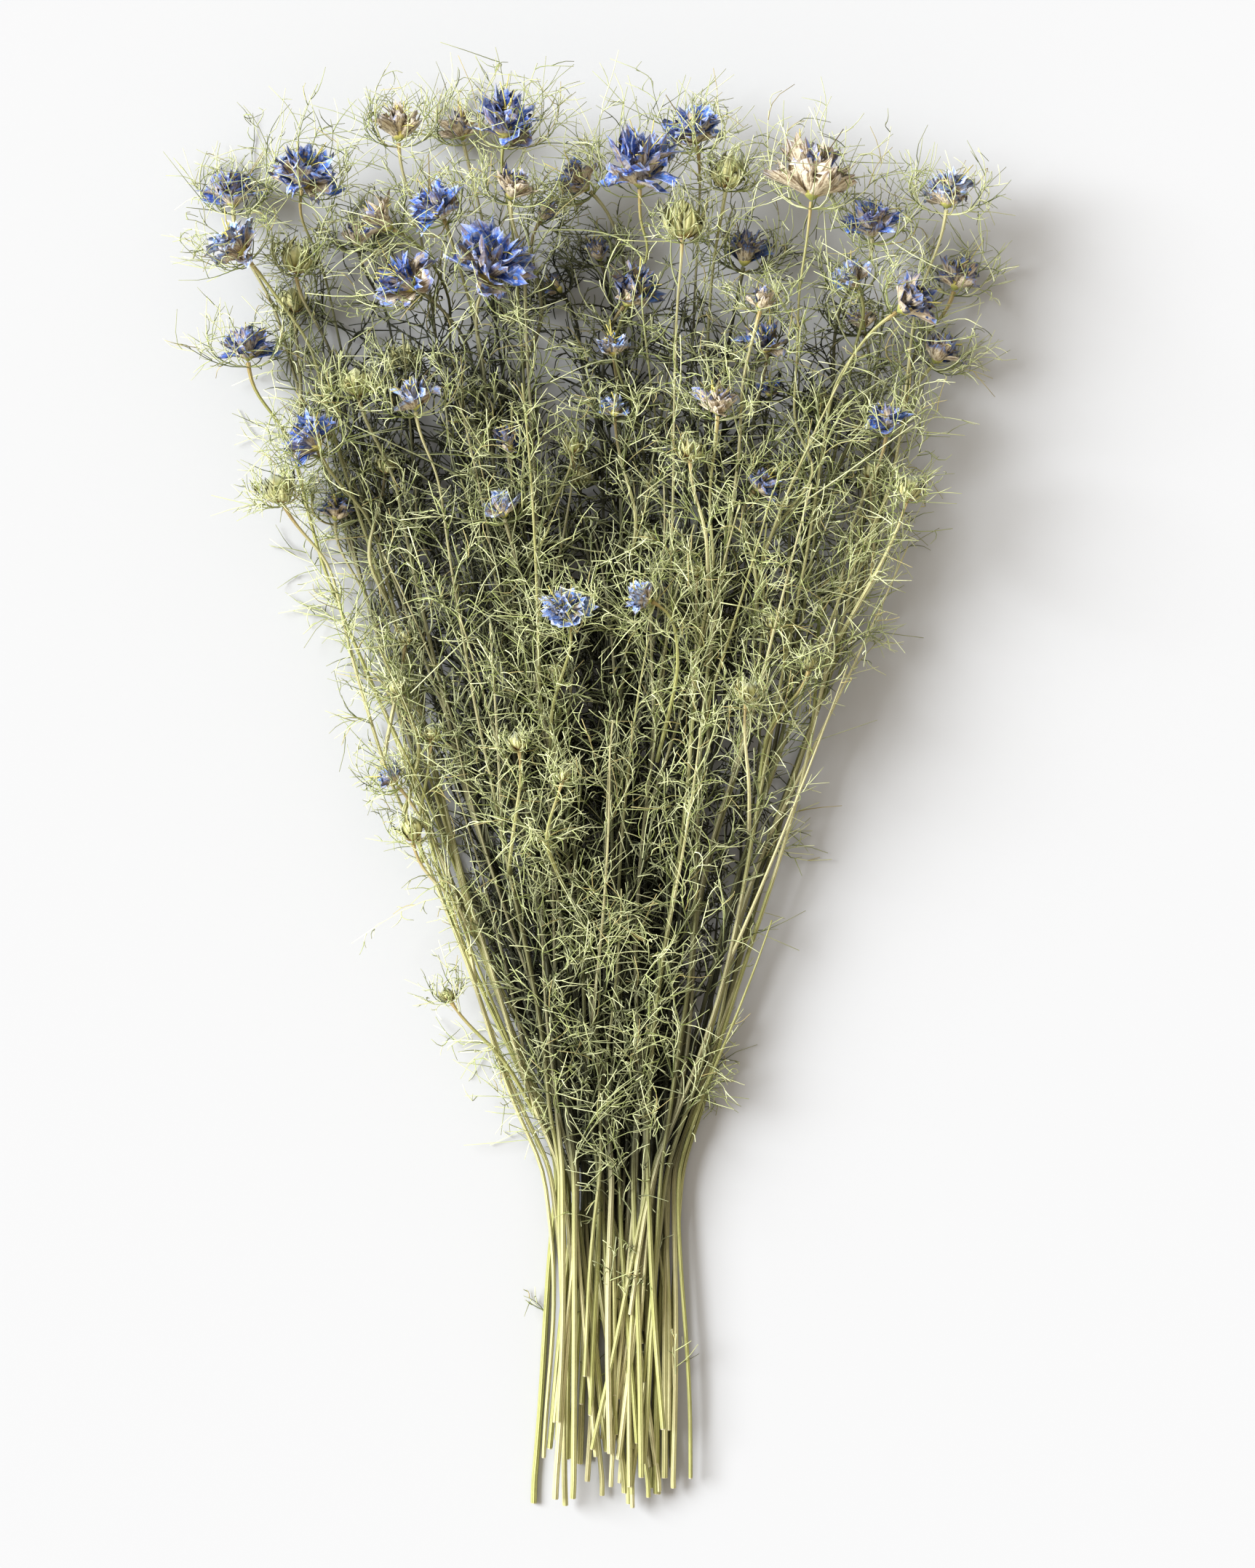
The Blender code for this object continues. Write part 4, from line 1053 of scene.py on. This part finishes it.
def lay_line(stem, rng):
    """A stem's middle line: the CAD's, with slow waves, and crossing its neighbours below the neck.

    The waves are sines of the height times sin(pi * t), for t from 0 at the cut to 1 at the head. A
    bend adds e to the power of minus the square of the height from its middle over its length."""
    line = even_path(stem["path"], STEM_RUN)
    window = np.sin(math.pi * np.linspace(0, 1, len(line)))
    waves = rng.uniform(*STEM_WAVE_RUNS, 2)
    phases = rng.uniform(0, 6, 2)
    line[:, 0] += window * STEM_WAVE * np.sin(line[:, 1] / waves[0] + phases[0])
    line[:, 0] += window**2 * STEM_SWAY * np.sin(line[:, 1] / STEM_SWAY_RUN + 2.0 * phases[1])
    line[:, 2] += window * STEM_WAVE * 0.5 * (1 + np.sin(line[:, 1] / waves[1] + phases[1]))
    below = np.clip((CROSS_TOP_Y - line[:, 1]) / CROSS_RUN, 0, CROSS_MOST)
    line[:, 0] = line[:, 0] * (1 - CUT_CLOSES * below) + below * stem["drift"]
    line[:, 2] += np.clip(below * 3, 0, 1) * stem["lift"]
    line[:, 2] = np.maximum(line[:, 2], STEM_WIDTH * 0.5 * STEM_ROUND[1] + 0.1)
    for height, long, aside in BENDS.get(stem["head"]["number"], ()):
        bump = np.exp(-((line[:, 1] - height) / long) ** 2)
        line[:, 0] += aside * bump
        line[:, 2] += abs(aside) * BEND_LIFT * bump
    return line


def add_stem(surface, line, radii, tone, brown_run, sides):
    """A stem as a tube with a blunt closed foot and a flare under its head.

    Its numbers: brown near the head, pale at the cut, its own tone, and its depth in the bunch for painted
    shade."""
    foot, tip = line[1] - line[0], line[-1] - line[-2]
    start = [line[0] - foot * FOOT_CAP, line[0], line[0] + foot * FOOT_ROUND]
    ends = np.concatenate([start, line[1:], [line[-1] + tip * TIP_CAP]])
    radii = np.concatenate([[CLOSED, radii[0] * FOOT_SHARE], radii, [CLOSED]])
    lengths = np.linalg.norm(np.diff(ends, axis=0), axis=1)
    far = lengths.sum() - np.concatenate([[0], np.cumsum(lengths)])
    looks = np.zeros((len(ends), 4))
    looks[:, 0] = np.clip(1 - far / brown_run, 0, 1) if brown_run > 0 else 0.0
    looks[:2, 1] = 1.0
    looks[:, 2] = tone
    looks[:, 3] = depth_inside(ends)
    surface.add_tubes(ends[None], radii[None], sides, looks[None], STEMS)


def lay_side_stem(line, rng):
    """A thin side stem that leaves a main stem at a fork and runs down beside it to a cut end.

    It is the main stem's line up to the fork, moved aside by spread * (1 - t) to a power, for t from 0
    at the cut to 1 at the fork, and lifted a little so that it lies on the stems it crosses."""
    fork = int(np.searchsorted(line[:, 1], rng.uniform(*SIDE_FORKS)))
    path = line[int(rng.integers(0, SIDE_FIRST_POINTS)):fork:2].copy()
    t = np.linspace(0, 1, len(path))
    spread = rng.choice([-1, 1]) * rng.uniform(*SIDE_SPREADS)
    path[:, 0] += spread * (1 - t) ** 1.4 - SIDE_CLOSES * path[:, 0] * (1 - t)
    wave = SIDE_WAVE * np.sin(math.pi * t)
    path[:, 0] += wave * np.sin(path[:, 1] / SIDE_WAVE_RUN + 6.0 * rng.random())
    path[:, 2] += SIDE_STEM_LIFT * np.sin(math.pi * t) * rng.uniform(*SIDE_STEM_LIFTS)
    path[:, 2] = np.maximum(path[:, 2], SIDE_STEM_FLOOR)
    return path


def same_length(lines, points):
    """Lines of any number of points, each cut into the same number."""
    shares = np.linspace(0, 1, points)
    return np.stack([
        np.stack([np.interp(shares, np.linspace(0, 1, len(line)), line[:, i]) for i in range(3)], axis=1)
        for line in lines
    ])


class Nodes:
    """Short calls that add shader nodes to one tree and link them up."""

    def __init__(self, tree):
        self.tree = tree

    def fill(self, node, inputs):
        """Sets a node's inputs. Each is a value, or the output socket that feeds it."""
        for name, value in inputs.items():
            if isinstance(value, bpy.types.NodeSocket):
                self.tree.links.new(value, node.inputs[name])
            elif isinstance(value, tuple) and len(value) == 3 and node.inputs[name].type == "RGBA":
                node.inputs[name].default_value = (*value, 1.0)
            else:
                node.inputs[name].default_value = value
        return node

    def add(self, kind, inputs, **settings):
        """Adds a node with its settings and inputs."""
        node = self.tree.nodes.new("ShaderNode" + kind)
        for name, value in settings.items():
            setattr(node, name, value)
        return self.fill(node, inputs)

    def math(self, operation, a, b=0.0):
        """One sum."""
        return self.add("Math", {0: a, 1: b}, operation=operation).outputs[0]

    def times(self, a, b):
        """The product of two numbers."""
        return self.math("MULTIPLY", a, b)

    def plus(self, a, b, times_b=None):
        """The sum of two numbers, the second multiplied by a third where one is given."""
        return self.math("ADD", a, b if times_b is None else self.times(b, times_b))

    def mix(self, share, a, b, blend="MIX"):
        """Two colours mixed by a share."""
        return self.add("Mix", {0: share, 6: a, 7: b}, data_type="RGBA", blend_type=blend).outputs[2]

    def steps(self, value, low, high, most=None):
        """0 below one value, 1 above the other, and a smooth rise between them, times the most."""
        settings = {"Value": value, "From Min": low, "From Max": high}
        rise = self.add("MapRange", settings, interpolation_type="SMOOTHSTEP").outputs[0]
        return rise if most is None else self.times(rise, most)

    def noise(self, vector, scale=1.0, detail=3.0):
        """Noise from 0 to 1 at so many features a metre, or a unit of the vector."""
        return self.add("TexNoise", {"Vector": vector, "Scale": scale, "Detail": detail}).outputs[0]

    def vector(self, x, y, z=0.0):
        """A vector of three numbers."""
        return self.add("CombineXYZ", {0: x, 1: y, 2: z}).outputs[0]

    def place(self):
        """Where the point is on the object."""
        return self.add("TexCoord", {}).outputs["Object"]


def skin_group():
    """A group that all the plant's finishes share: patches where a dried surface is faded or dark, and
    the fine relief of its crinkled skin. Patches are noise of 6 mm and 1 mm, the relief of 1 mm."""
    group = bpy.data.node_groups.new("dried_skin", "ShaderNodeTree")
    group.interface.new_socket("Amount", in_out="INPUT", socket_type="NodeSocketFloat")
    group.interface.new_socket("Colour", in_out="INPUT", socket_type="NodeSocketColor")
    group.interface.new_socket("Relief", in_out="INPUT", socket_type="NodeSocketFloat")
    group.interface.new_socket("Colour", in_out="OUTPUT", socket_type="NodeSocketColor")
    group.interface.new_socket("Normal", in_out="OUTPUT", socket_type="NodeSocketVector")
    nodes = Nodes(group)
    given = group.nodes.new("NodeGroupInput").outputs
    patches = nodes.noise(nodes.place(), BLOTCH_SCALE, 4.0)
    grain = nodes.noise(nodes.place(), GRAIN_SCALE)
    brightness = nodes.plus(nodes.times(patches, 1.1), grain, 0.7)
    factor = nodes.plus(1.0, nodes.math("SUBTRACT", brightness, 0.9), given["Amount"])
    grey = nodes.add("CombineColor", {0: factor, 1: factor, 2: factor}).outputs[0]
    tinted = nodes.mix(1.0, given["Colour"], grey, "MULTIPLY")
    relief = {"Strength": BUMP_STRENGTH, "Distance": BUMP_DEPTH, "Height": nodes.plus(grain, given["Relief"])}
    bump = nodes.add("Bump", relief).outputs[0]
    nodes.fill(group.nodes.new("NodeGroupOutput"), {"Colour": tinted, "Normal": bump})
    return group


def finish(name, skin, paint, amount, roughness, sheen=0.0):
    """A material of this plant: paint works out its colour and relief, and the skin group weathers it."""
    material = bpy.data.materials.new(name)
    material.use_nodes = True
    nodes = Nodes(material.node_tree)
    look = nodes.add("Attribute", {}, attribute_name="look").outputs
    parts = nodes.add("SeparateColor", {0: look["Color"]}).outputs
    uv = nodes.add("SeparateXYZ", {0: nodes.add("UVMap", {}, uv_map="round_and_along").outputs[0]}).outputs
    colour, relief = paint(nodes, (parts[0], parts[1], parts[2], look["Alpha"]), uv[0], uv[1])
    given = {"Colour": colour, "Relief": relief, "Amount": amount}
    weathered = nodes.add("Group", given, node_tree=skin).outputs
    nodes.fill(material.node_tree.nodes["Principled BSDF"], {
        "Base Color": weathered["Colour"], "Normal": weathered["Normal"], "Roughness": roughness,
        "Sheen Weight": sheen, "Specular IOR Level": PLANT_GLOSS,
    })
    return material


def with_painted_shade(nodes, colour, depth):
    """A colour with painted shade: darker deep inside the bunch, where the shade would fall."""
    return nodes.mix(nodes.steps(depth, *PAINTED_SHADE_STEPS, PAINTED_SHADE_SHARE), colour, PAINTED_SHADE_OLIVE)


def ridges_round(nodes, u, count):
    """A sine that goes round a shape count times."""
    return nodes.math("SINE", nodes.times(u, 2 * math.pi * count))


def paint_stem(nodes, look, u, v):
    """Straw green with fine ridges along it and painted shade in the grooves between them, paler or greener
    by stem and stretch, golden brown under the head, pale at the cut, and darkened by painted shade deep
    inside."""
    brown, pale, tone, depth = look
    streaks = nodes.noise(nodes.vector(nodes.times(u, 9.0), nodes.times(v, 16.0), tone))
    ridges = ridges_round(nodes, u, STEM_RIDGES)
    green = nodes.mix(nodes.steps(nodes.plus(streaks, tone, 0.7), 0.45, 1.1), STEM_GREEN, STEM_STRAW)
    # Painted shade: the grooves between the ridges are mixed towards a dark green
    lit = nodes.mix(nodes.steps(ridges, -1.0, 0.6), nodes.mix(0.55, green, STEM_GROOVE_SHADE), green)
    grown = nodes.mix(nodes.steps(nodes.plus(brown, streaks, 0.4), 0.55, 1.15, 0.9), lit, STEM_BROWN)
    cut = nodes.mix(nodes.steps(pale, 0.2, 0.9), grown, CUT_PALE)
    return with_painted_shade(nodes, cut, depth), nodes.times(ridges, 0.5)


def paint_threads(nodes, look, u, v):
    """Olive to sage by tone, paler towards the tips, a few brown, painted shade deep inside. It has no
    relief.
    """
    along, tone, chance, depth = look
    base = nodes.mix(nodes.steps(tone, 0.1, 0.9), THREAD_OLIVE, THREAD_SAGE)
    fresh = nodes.mix(nodes.steps(chance, 0.45, 0.8, 0.5), base, THREAD_LEAF)
    pale = nodes.mix(nodes.steps(along, 0.3, 1.0, 0.3), fresh, THREAD_STRAW)
    old = nodes.mix(nodes.steps(chance, 0.94, 0.97, 0.75), pale, STEM_BROWN)
    return with_painted_shade(nodes, old, depth), 0.0


def paint_bud(nodes, look, u, v):
    """Ribbed yellow-green with painted shade between the ribs, brown at the foot, with darker, bluish points.
    """
    along, _, tone, edge = look
    ribs = ridges_round(nodes, u, BUD_RIBS)
    body = nodes.mix(nodes.steps(ribs, -0.4, 0.8), BUD_SHADE, BUD_GREEN)
    foot = nodes.mix(nodes.steps(along, 0.12, 0.42), BUD_BROWN, body)
    tip = nodes.mix(nodes.steps(along, 0.62, 0.95, nodes.steps(tone, 0.2, 0.6)), foot, BUD_TIP)
    return nodes.mix(nodes.steps(edge, 0.6, 1.0, 0.5), tip, BUD_RIM), ribs


def paint_core(nodes, look, u, v):
    """The heart of a bloom: greenish yellow, with a few dark styles. It has no relief."""
    along, tone = look[:2]
    styles = nodes.mix(nodes.steps(tone, 0.2, 0.8), CORE_DARK, CORE_YELLOW)
    return nodes.mix(nodes.steps(along, 0.1, 0.6), CORE_GREEN, styles), 0.0


def petal_paint(deep, bright, vein, rim, rim_share, paper_end, bleach):
    """The paint of one kind of bloom's petals, from its own colours."""

    def paint(nodes, look, u, v):
        """Papery petals: a pale claw, a deep or a bright blade by petal and patch, veins that run along
        it and darken it, a bleached rim, and a back that stays the colour of dry paper at its foot."""
        along, back, tone, edge = look
        vein_spot = nodes.vector(nodes.times(u, 26.0), nodes.times(v, 2.2), nodes.times(tone, 40.0))
        veins = nodes.noise(vein_spot, detail=4.0)
        patches = nodes.noise(nodes.vector(nodes.times(u, 5.0), nodes.times(v, 3.0), nodes.times(tone, 90.0)))
        spots = nodes.noise(nodes.place(), BLEACH_SCALE)
        blade = nodes.mix(nodes.steps(patches, 0.38, 0.66), deep, bright)
        veined = nodes.mix(nodes.steps(veins, 0.56, 0.40, 0.55), blade, vein)
        faded = nodes.mix(nodes.steps(spots, 0.50, 0.66, bleach), veined, rim)
        claw = nodes.mix(nodes.steps(nodes.plus(along, veins, 0.25), 0.22, 0.50), PAPER, faded)
        rim_place = nodes.math("MAXIMUM", nodes.times(edge, nodes.steps(along, 0.15, 0.5)),
                               nodes.times(along, 0.97))
        front = nodes.mix(nodes.steps(nodes.plus(rim_place, patches, 0.30), 0.98, 1.22, rim_share), claw, rim)
        dried = nodes.mix(nodes.steps(nodes.plus(along, patches, 0.7), paper_end, paper_end + 0.35),
                          PAPER, front)
        streaks = nodes.math("MAXIMUM", nodes.steps(veins, 0.54, 0.40), nodes.steps(patches, 0.50, 0.34, 0.6))
        paper_veins = nodes.mix(nodes.times(streaks, 0.85), dried, PAPER_VEIN)
        papery = nodes.math("MAXIMUM", back, nodes.steps(tone, 0.93, 0.97))
        petal = nodes.mix(papery, front, paper_veins)
        crumple = nodes.plus(nodes.times(veins, 1.2), spots, 2.4)
        return nodes.mix(nodes.steps(along, 0.20, 0.06), petal, CLAW_GOLD), crumple

    return paint


def plan_crossings(sprays, stems):
    """Gives each stem its own random numbers, its drift to one side at the cut end, and its lift."""
    for stem in stems:
        stem["rng"] = np.random.default_rng(int(stem["cut_y"] * 1000) % STEM_SEEDS + FIRST_STEM_SEED)
    for number in range(len(sprays)):
        own = [stem for stem in stems if stem["spray"] == number]
        for place, stem in enumerate(own):
            rng = stem["rng"]
            stem["drift"] = rng.uniform(0.1, 1.0) ** 1.5 * CROSS_DRIFT * (1 if place % 2 else -1)
            if rng.random() < CROSSING_SHARE:
                stem["drift"] = -math.copysign(rng.uniform(*CROSSING_DRIFT), stem["path"][0][0])
            stem["lift"] = CROSS_LIFT * (place % 2)


def add_own_stem(surface, stem, rng):
    """A main stem and the thin one beside it. Gives back the main stem's line."""
    line = lay_line(stem, stem["rng"])
    radii = stem_radius(line[:, 1], stem["head"]["base"][1]) / math.sqrt(2)
    share = np.linspace(0, 1, len(line))
    radii = radii * rng.uniform(*STEM_ROUND) * (1 - STEM_THINS * share**1.5) + HEAD_FLARE * share**FLARE_POWER
    brown_run = rng.uniform(*BROWN_RUNS) * (rng.random() < BROWN_CHANCE)
    add_stem(surface, line, radii, rng.random(), brown_run, STEM_SIDES)
    for _ in range(SIDE_STEMS):
        path = lay_side_stem(line, rng)
        if len(path) >= SIDE_LEAST_POINTS:
            radii = np.linspace(rng.uniform(*SIDE_STEM_RADII), SIDE_STEM_TIP, len(path))
            add_stem(surface, path, radii, rng.random(), 0.0, THIN_STEM_SIDES)
    return line


def add_leaves(surface, lines, rng):
    """The twigs of a spray's stems, the divided leaves of both, and the stems' tendrils.

    Twigs and tendrils stay inside the fan, and twigs under a ceiling that rises towards the heads."""
    parents = same_length(lines, PARENT_POINTS)
    twigs = offshoots(parents, rng, **TWIGS)
    inside = ((twigs > BOX_LOW) & (twigs < BOX_HIGH)).all(axis=(1, 2))
    inside = inside & (twigs[..., 2].min(axis=1) > TWIG_FLOOR)
    low = (twigs[..., 2] < TWIG_CEILING + TWIG_RISE * twigs[..., 1]).all(axis=1)
    twigs = twigs[inside & low & (aside_in_fan(twigs).max(axis=1) < 1.0)]
    for twig in twigs:
        add_stem(surface, twig, np.linspace(*TWIG_RADII, len(twig)), rng.random(), 0.0, TWIG_SIDES)
    add_fronds(surface, leafy(offshoots(parents, rng, **LEAVES), rng), rng, **STEM_FRONDS)
    if len(twigs):
        add_fronds(surface, leafy(offshoots(twigs, rng, **TWIG_LEAVES), rng), rng, **TWIG_FRONDS)
    tendrils = offshoots(parents, rng, **TENDRILS)
    tendrils = tendrils[aside_in_fan(tendrils).max(axis=1) < 1.0]
    add_threads(surface, tendrils, TENDRIL_RADIUS, rng, TENDRIL_TONE)
    add_fronds(surface, leafy(offshoots(parents, rng, **LOW_LEAVES), rng), rng, **LOW_FRONDS)


def add_head(surface, head, rng):
    """What a spray holds of a head: its side shoot, the mist round it, and the whole of a bud."""
    if not head["own_stem"]:
        line = even_path(head["path"], STEM_RUN)
        radii = np.interp(np.linspace(0, 1, len(line)), *SHOOT_TAPER)
        add_stem(surface, line, radii, rng.random(), rng.uniform(*SHOOT_BROWN_RUNS), THIN_STEM_SIDES)
        add_fronds(surface, offshoots(line[None], rng, **SHOOT_LEAVES), rng, **SHOOT_FRONDS)
    small = head["width"] < SMALL_HEAD
    length = MIST_LENGTH * head["width"] + MIST_LENGTH_LEAST
    add_fronds(surface, bowl_ribs(head, rng, MIST_RIBS[small]), rng, MIST_SIDES[small], length, **MIST_FRONDS)
    if head["finish"] == "bud":
        add_core(surface, head, rng, BUDS)
        for ring in PETAL_RINGS["bud"]:
            add_petals(surface, head, rng, ring, BUDS)


# The CAD model's stems and heads, worked out again in the same order from the same seed
rng = np.random.default_rng(SEED)
heads = read_heads()
space_heads(heads)
sprays = gather_sprays(heads)
stems = lay_stems(sprays, heads, rng)
room = Room(heads)
for number, stem in enumerate(stems):
    room.add(stem["path"], stem["radii"], f"stem {number}")
grow_shoots(heads, stems, room, rng)
for head in heads:
    head["spray"] = (head.get("stem") or stems[head["on_stem"]])["spray"]
plan_crossings(sprays, stems)

# Room to grow: inside the CAD model's box and the little that threads may stand proud of it
BOX_LOW = np.array(cad_box[0]) / MM - [MIST_PROUD, 0.0, 10.0]
BOX_HIGH = np.array(cad_box[1]) / MM + [MIST_PROUD, MIST_PROUD, 6.0]

# The faces of the blooms, which threads mostly keep clear of: middle and half width
blooms = [head for head in heads if head["finish"] != "bud"]
FACES = np.array([[*head["centre"], FACE_SHARE * head["width"]] for head in blooms])

skin = skin_group()
stem_finish = finish("dried_stem", skin, paint_stem, amount=0.30, roughness=0.62)
thread_finish = finish("dried_threads", skin, paint_threads, amount=0.35, roughness=0.75)
bud_finish = finish("dried_bud", skin, paint_bud, amount=0.45, roughness=0.75)
core_finish = finish("dried_core", skin, paint_core, amount=0.4, roughness=0.8)
petal_finishes = {
    kind: finish(f"petals_{kind}", skin, petal_paint(**colours), amount=0.55, roughness=0.72, sheen=0.12)
    for kind, colours in PETAL_COLOURS.items()
}

# Stems, side shoots, leaves and the mist round the heads: one piece for each spray
for number in range(len(sprays)):
    rng = np.random.default_rng(SPRAY_SEED + number)
    surface = Surface()
    lines = [add_own_stem(surface, stem, rng) for stem in stems if stem["spray"] == number]
    add_leaves(surface, lines, rng)
    for head in heads:
        if head["spray"] == number:
            add_head(surface, head, rng)
    piece = surface.build(f"spray_greens_{number + 1:02d}", [stem_finish, thread_finish, bud_finish])
    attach(piece, "root")
    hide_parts(f"spray_{number + 1:02d}")

# The blooms: petals in rings round a core
for number, head in enumerate(blooms, 1):
    rng = np.random.default_rng(BLOOM_SEED + number)
    surface = Surface()
    add_core(surface, head, rng, CORE)
    add_styles(surface, head, rng)
    for ring in PETAL_RINGS[head["finish"]]:
        add_petals(surface, head, rng, ring, PETALS)
    piece = surface.build(f"bloom_petals_{number:02d}", [petal_finishes[head["finish"]], core_finish])
    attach(piece, "root")
    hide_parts(f"bloom_{number:02d}")

# The floor, the light and the camera
bpy.ops.mesh.primitive_plane_add(size=FLOOR_SIZE, location=(0, 0, 0))
floor = bpy.context.object
floor.name = "pale_floor"
paper = bpy.data.materials.new("pale_floor")
paper.use_nodes = True
Nodes(paper.node_tree).fill(paper.node_tree.nodes["Principled BSDF"], {
    "Base Color": FLOOR_COLOUR, "Roughness": 0.9, "Specular IOR Level": 0.1,
})
floor.data.materials.append(paper)

# A room that lights the scene warmly, and that the camera sees as plain white
world = bpy.data.worlds.new("soft_room")
bpy.context.scene.world = world
world.use_nodes = True
nodes = Nodes(world.node_tree)
seen = nodes.add("LightPath", {}).outputs["Is Camera Ray"]
nodes.fill(world.node_tree.nodes["Background"], {
    "Color": nodes.mix(seen, ROOM_COLOUR, BACKDROP_COLOUR),
    "Strength": nodes.math("MAXIMUM", nodes.times(seen, BACKDROP_LIGHT), ROOM_LIGHT),
})

toward = unit(np.array(KEY_FROM))
key = bpy.data.lights.new("window", "SUN")
key.angle = KEY_ANGLE
key.energy = KEY_POWER
key.color = KEY_COLOUR
lamp = bpy.data.objects.new("window", key)
lamp.location = np.array([*VIEW_CENTRE, 0.0]) * MM + toward * KEY_AWAY
lamp.rotation_euler = Vector(-toward).to_track_quat("-Z", "Y").to_euler()
bpy.context.scene.collection.objects.link(lamp)

camera = bpy.data.cameras.new("photo_view")
camera.sensor_fit = "VERTICAL"
camera.sensor_height = SENSOR_HEIGHT
camera.lens = SENSOR_HEIGHT * CAMERA_DISTANCE / VIEW_HEIGHT
camera.clip_end = 20.0
viewer = bpy.data.objects.new("photo_view", camera)
viewer.location = np.array([*VIEW_CENTRE, FOCUS_HEIGHT + CAMERA_DISTANCE]) * MM
bpy.context.scene.collection.objects.link(viewer)
bpy.context.scene.camera = viewer
bpy.context.scene.view_settings.view_transform = "Standard"
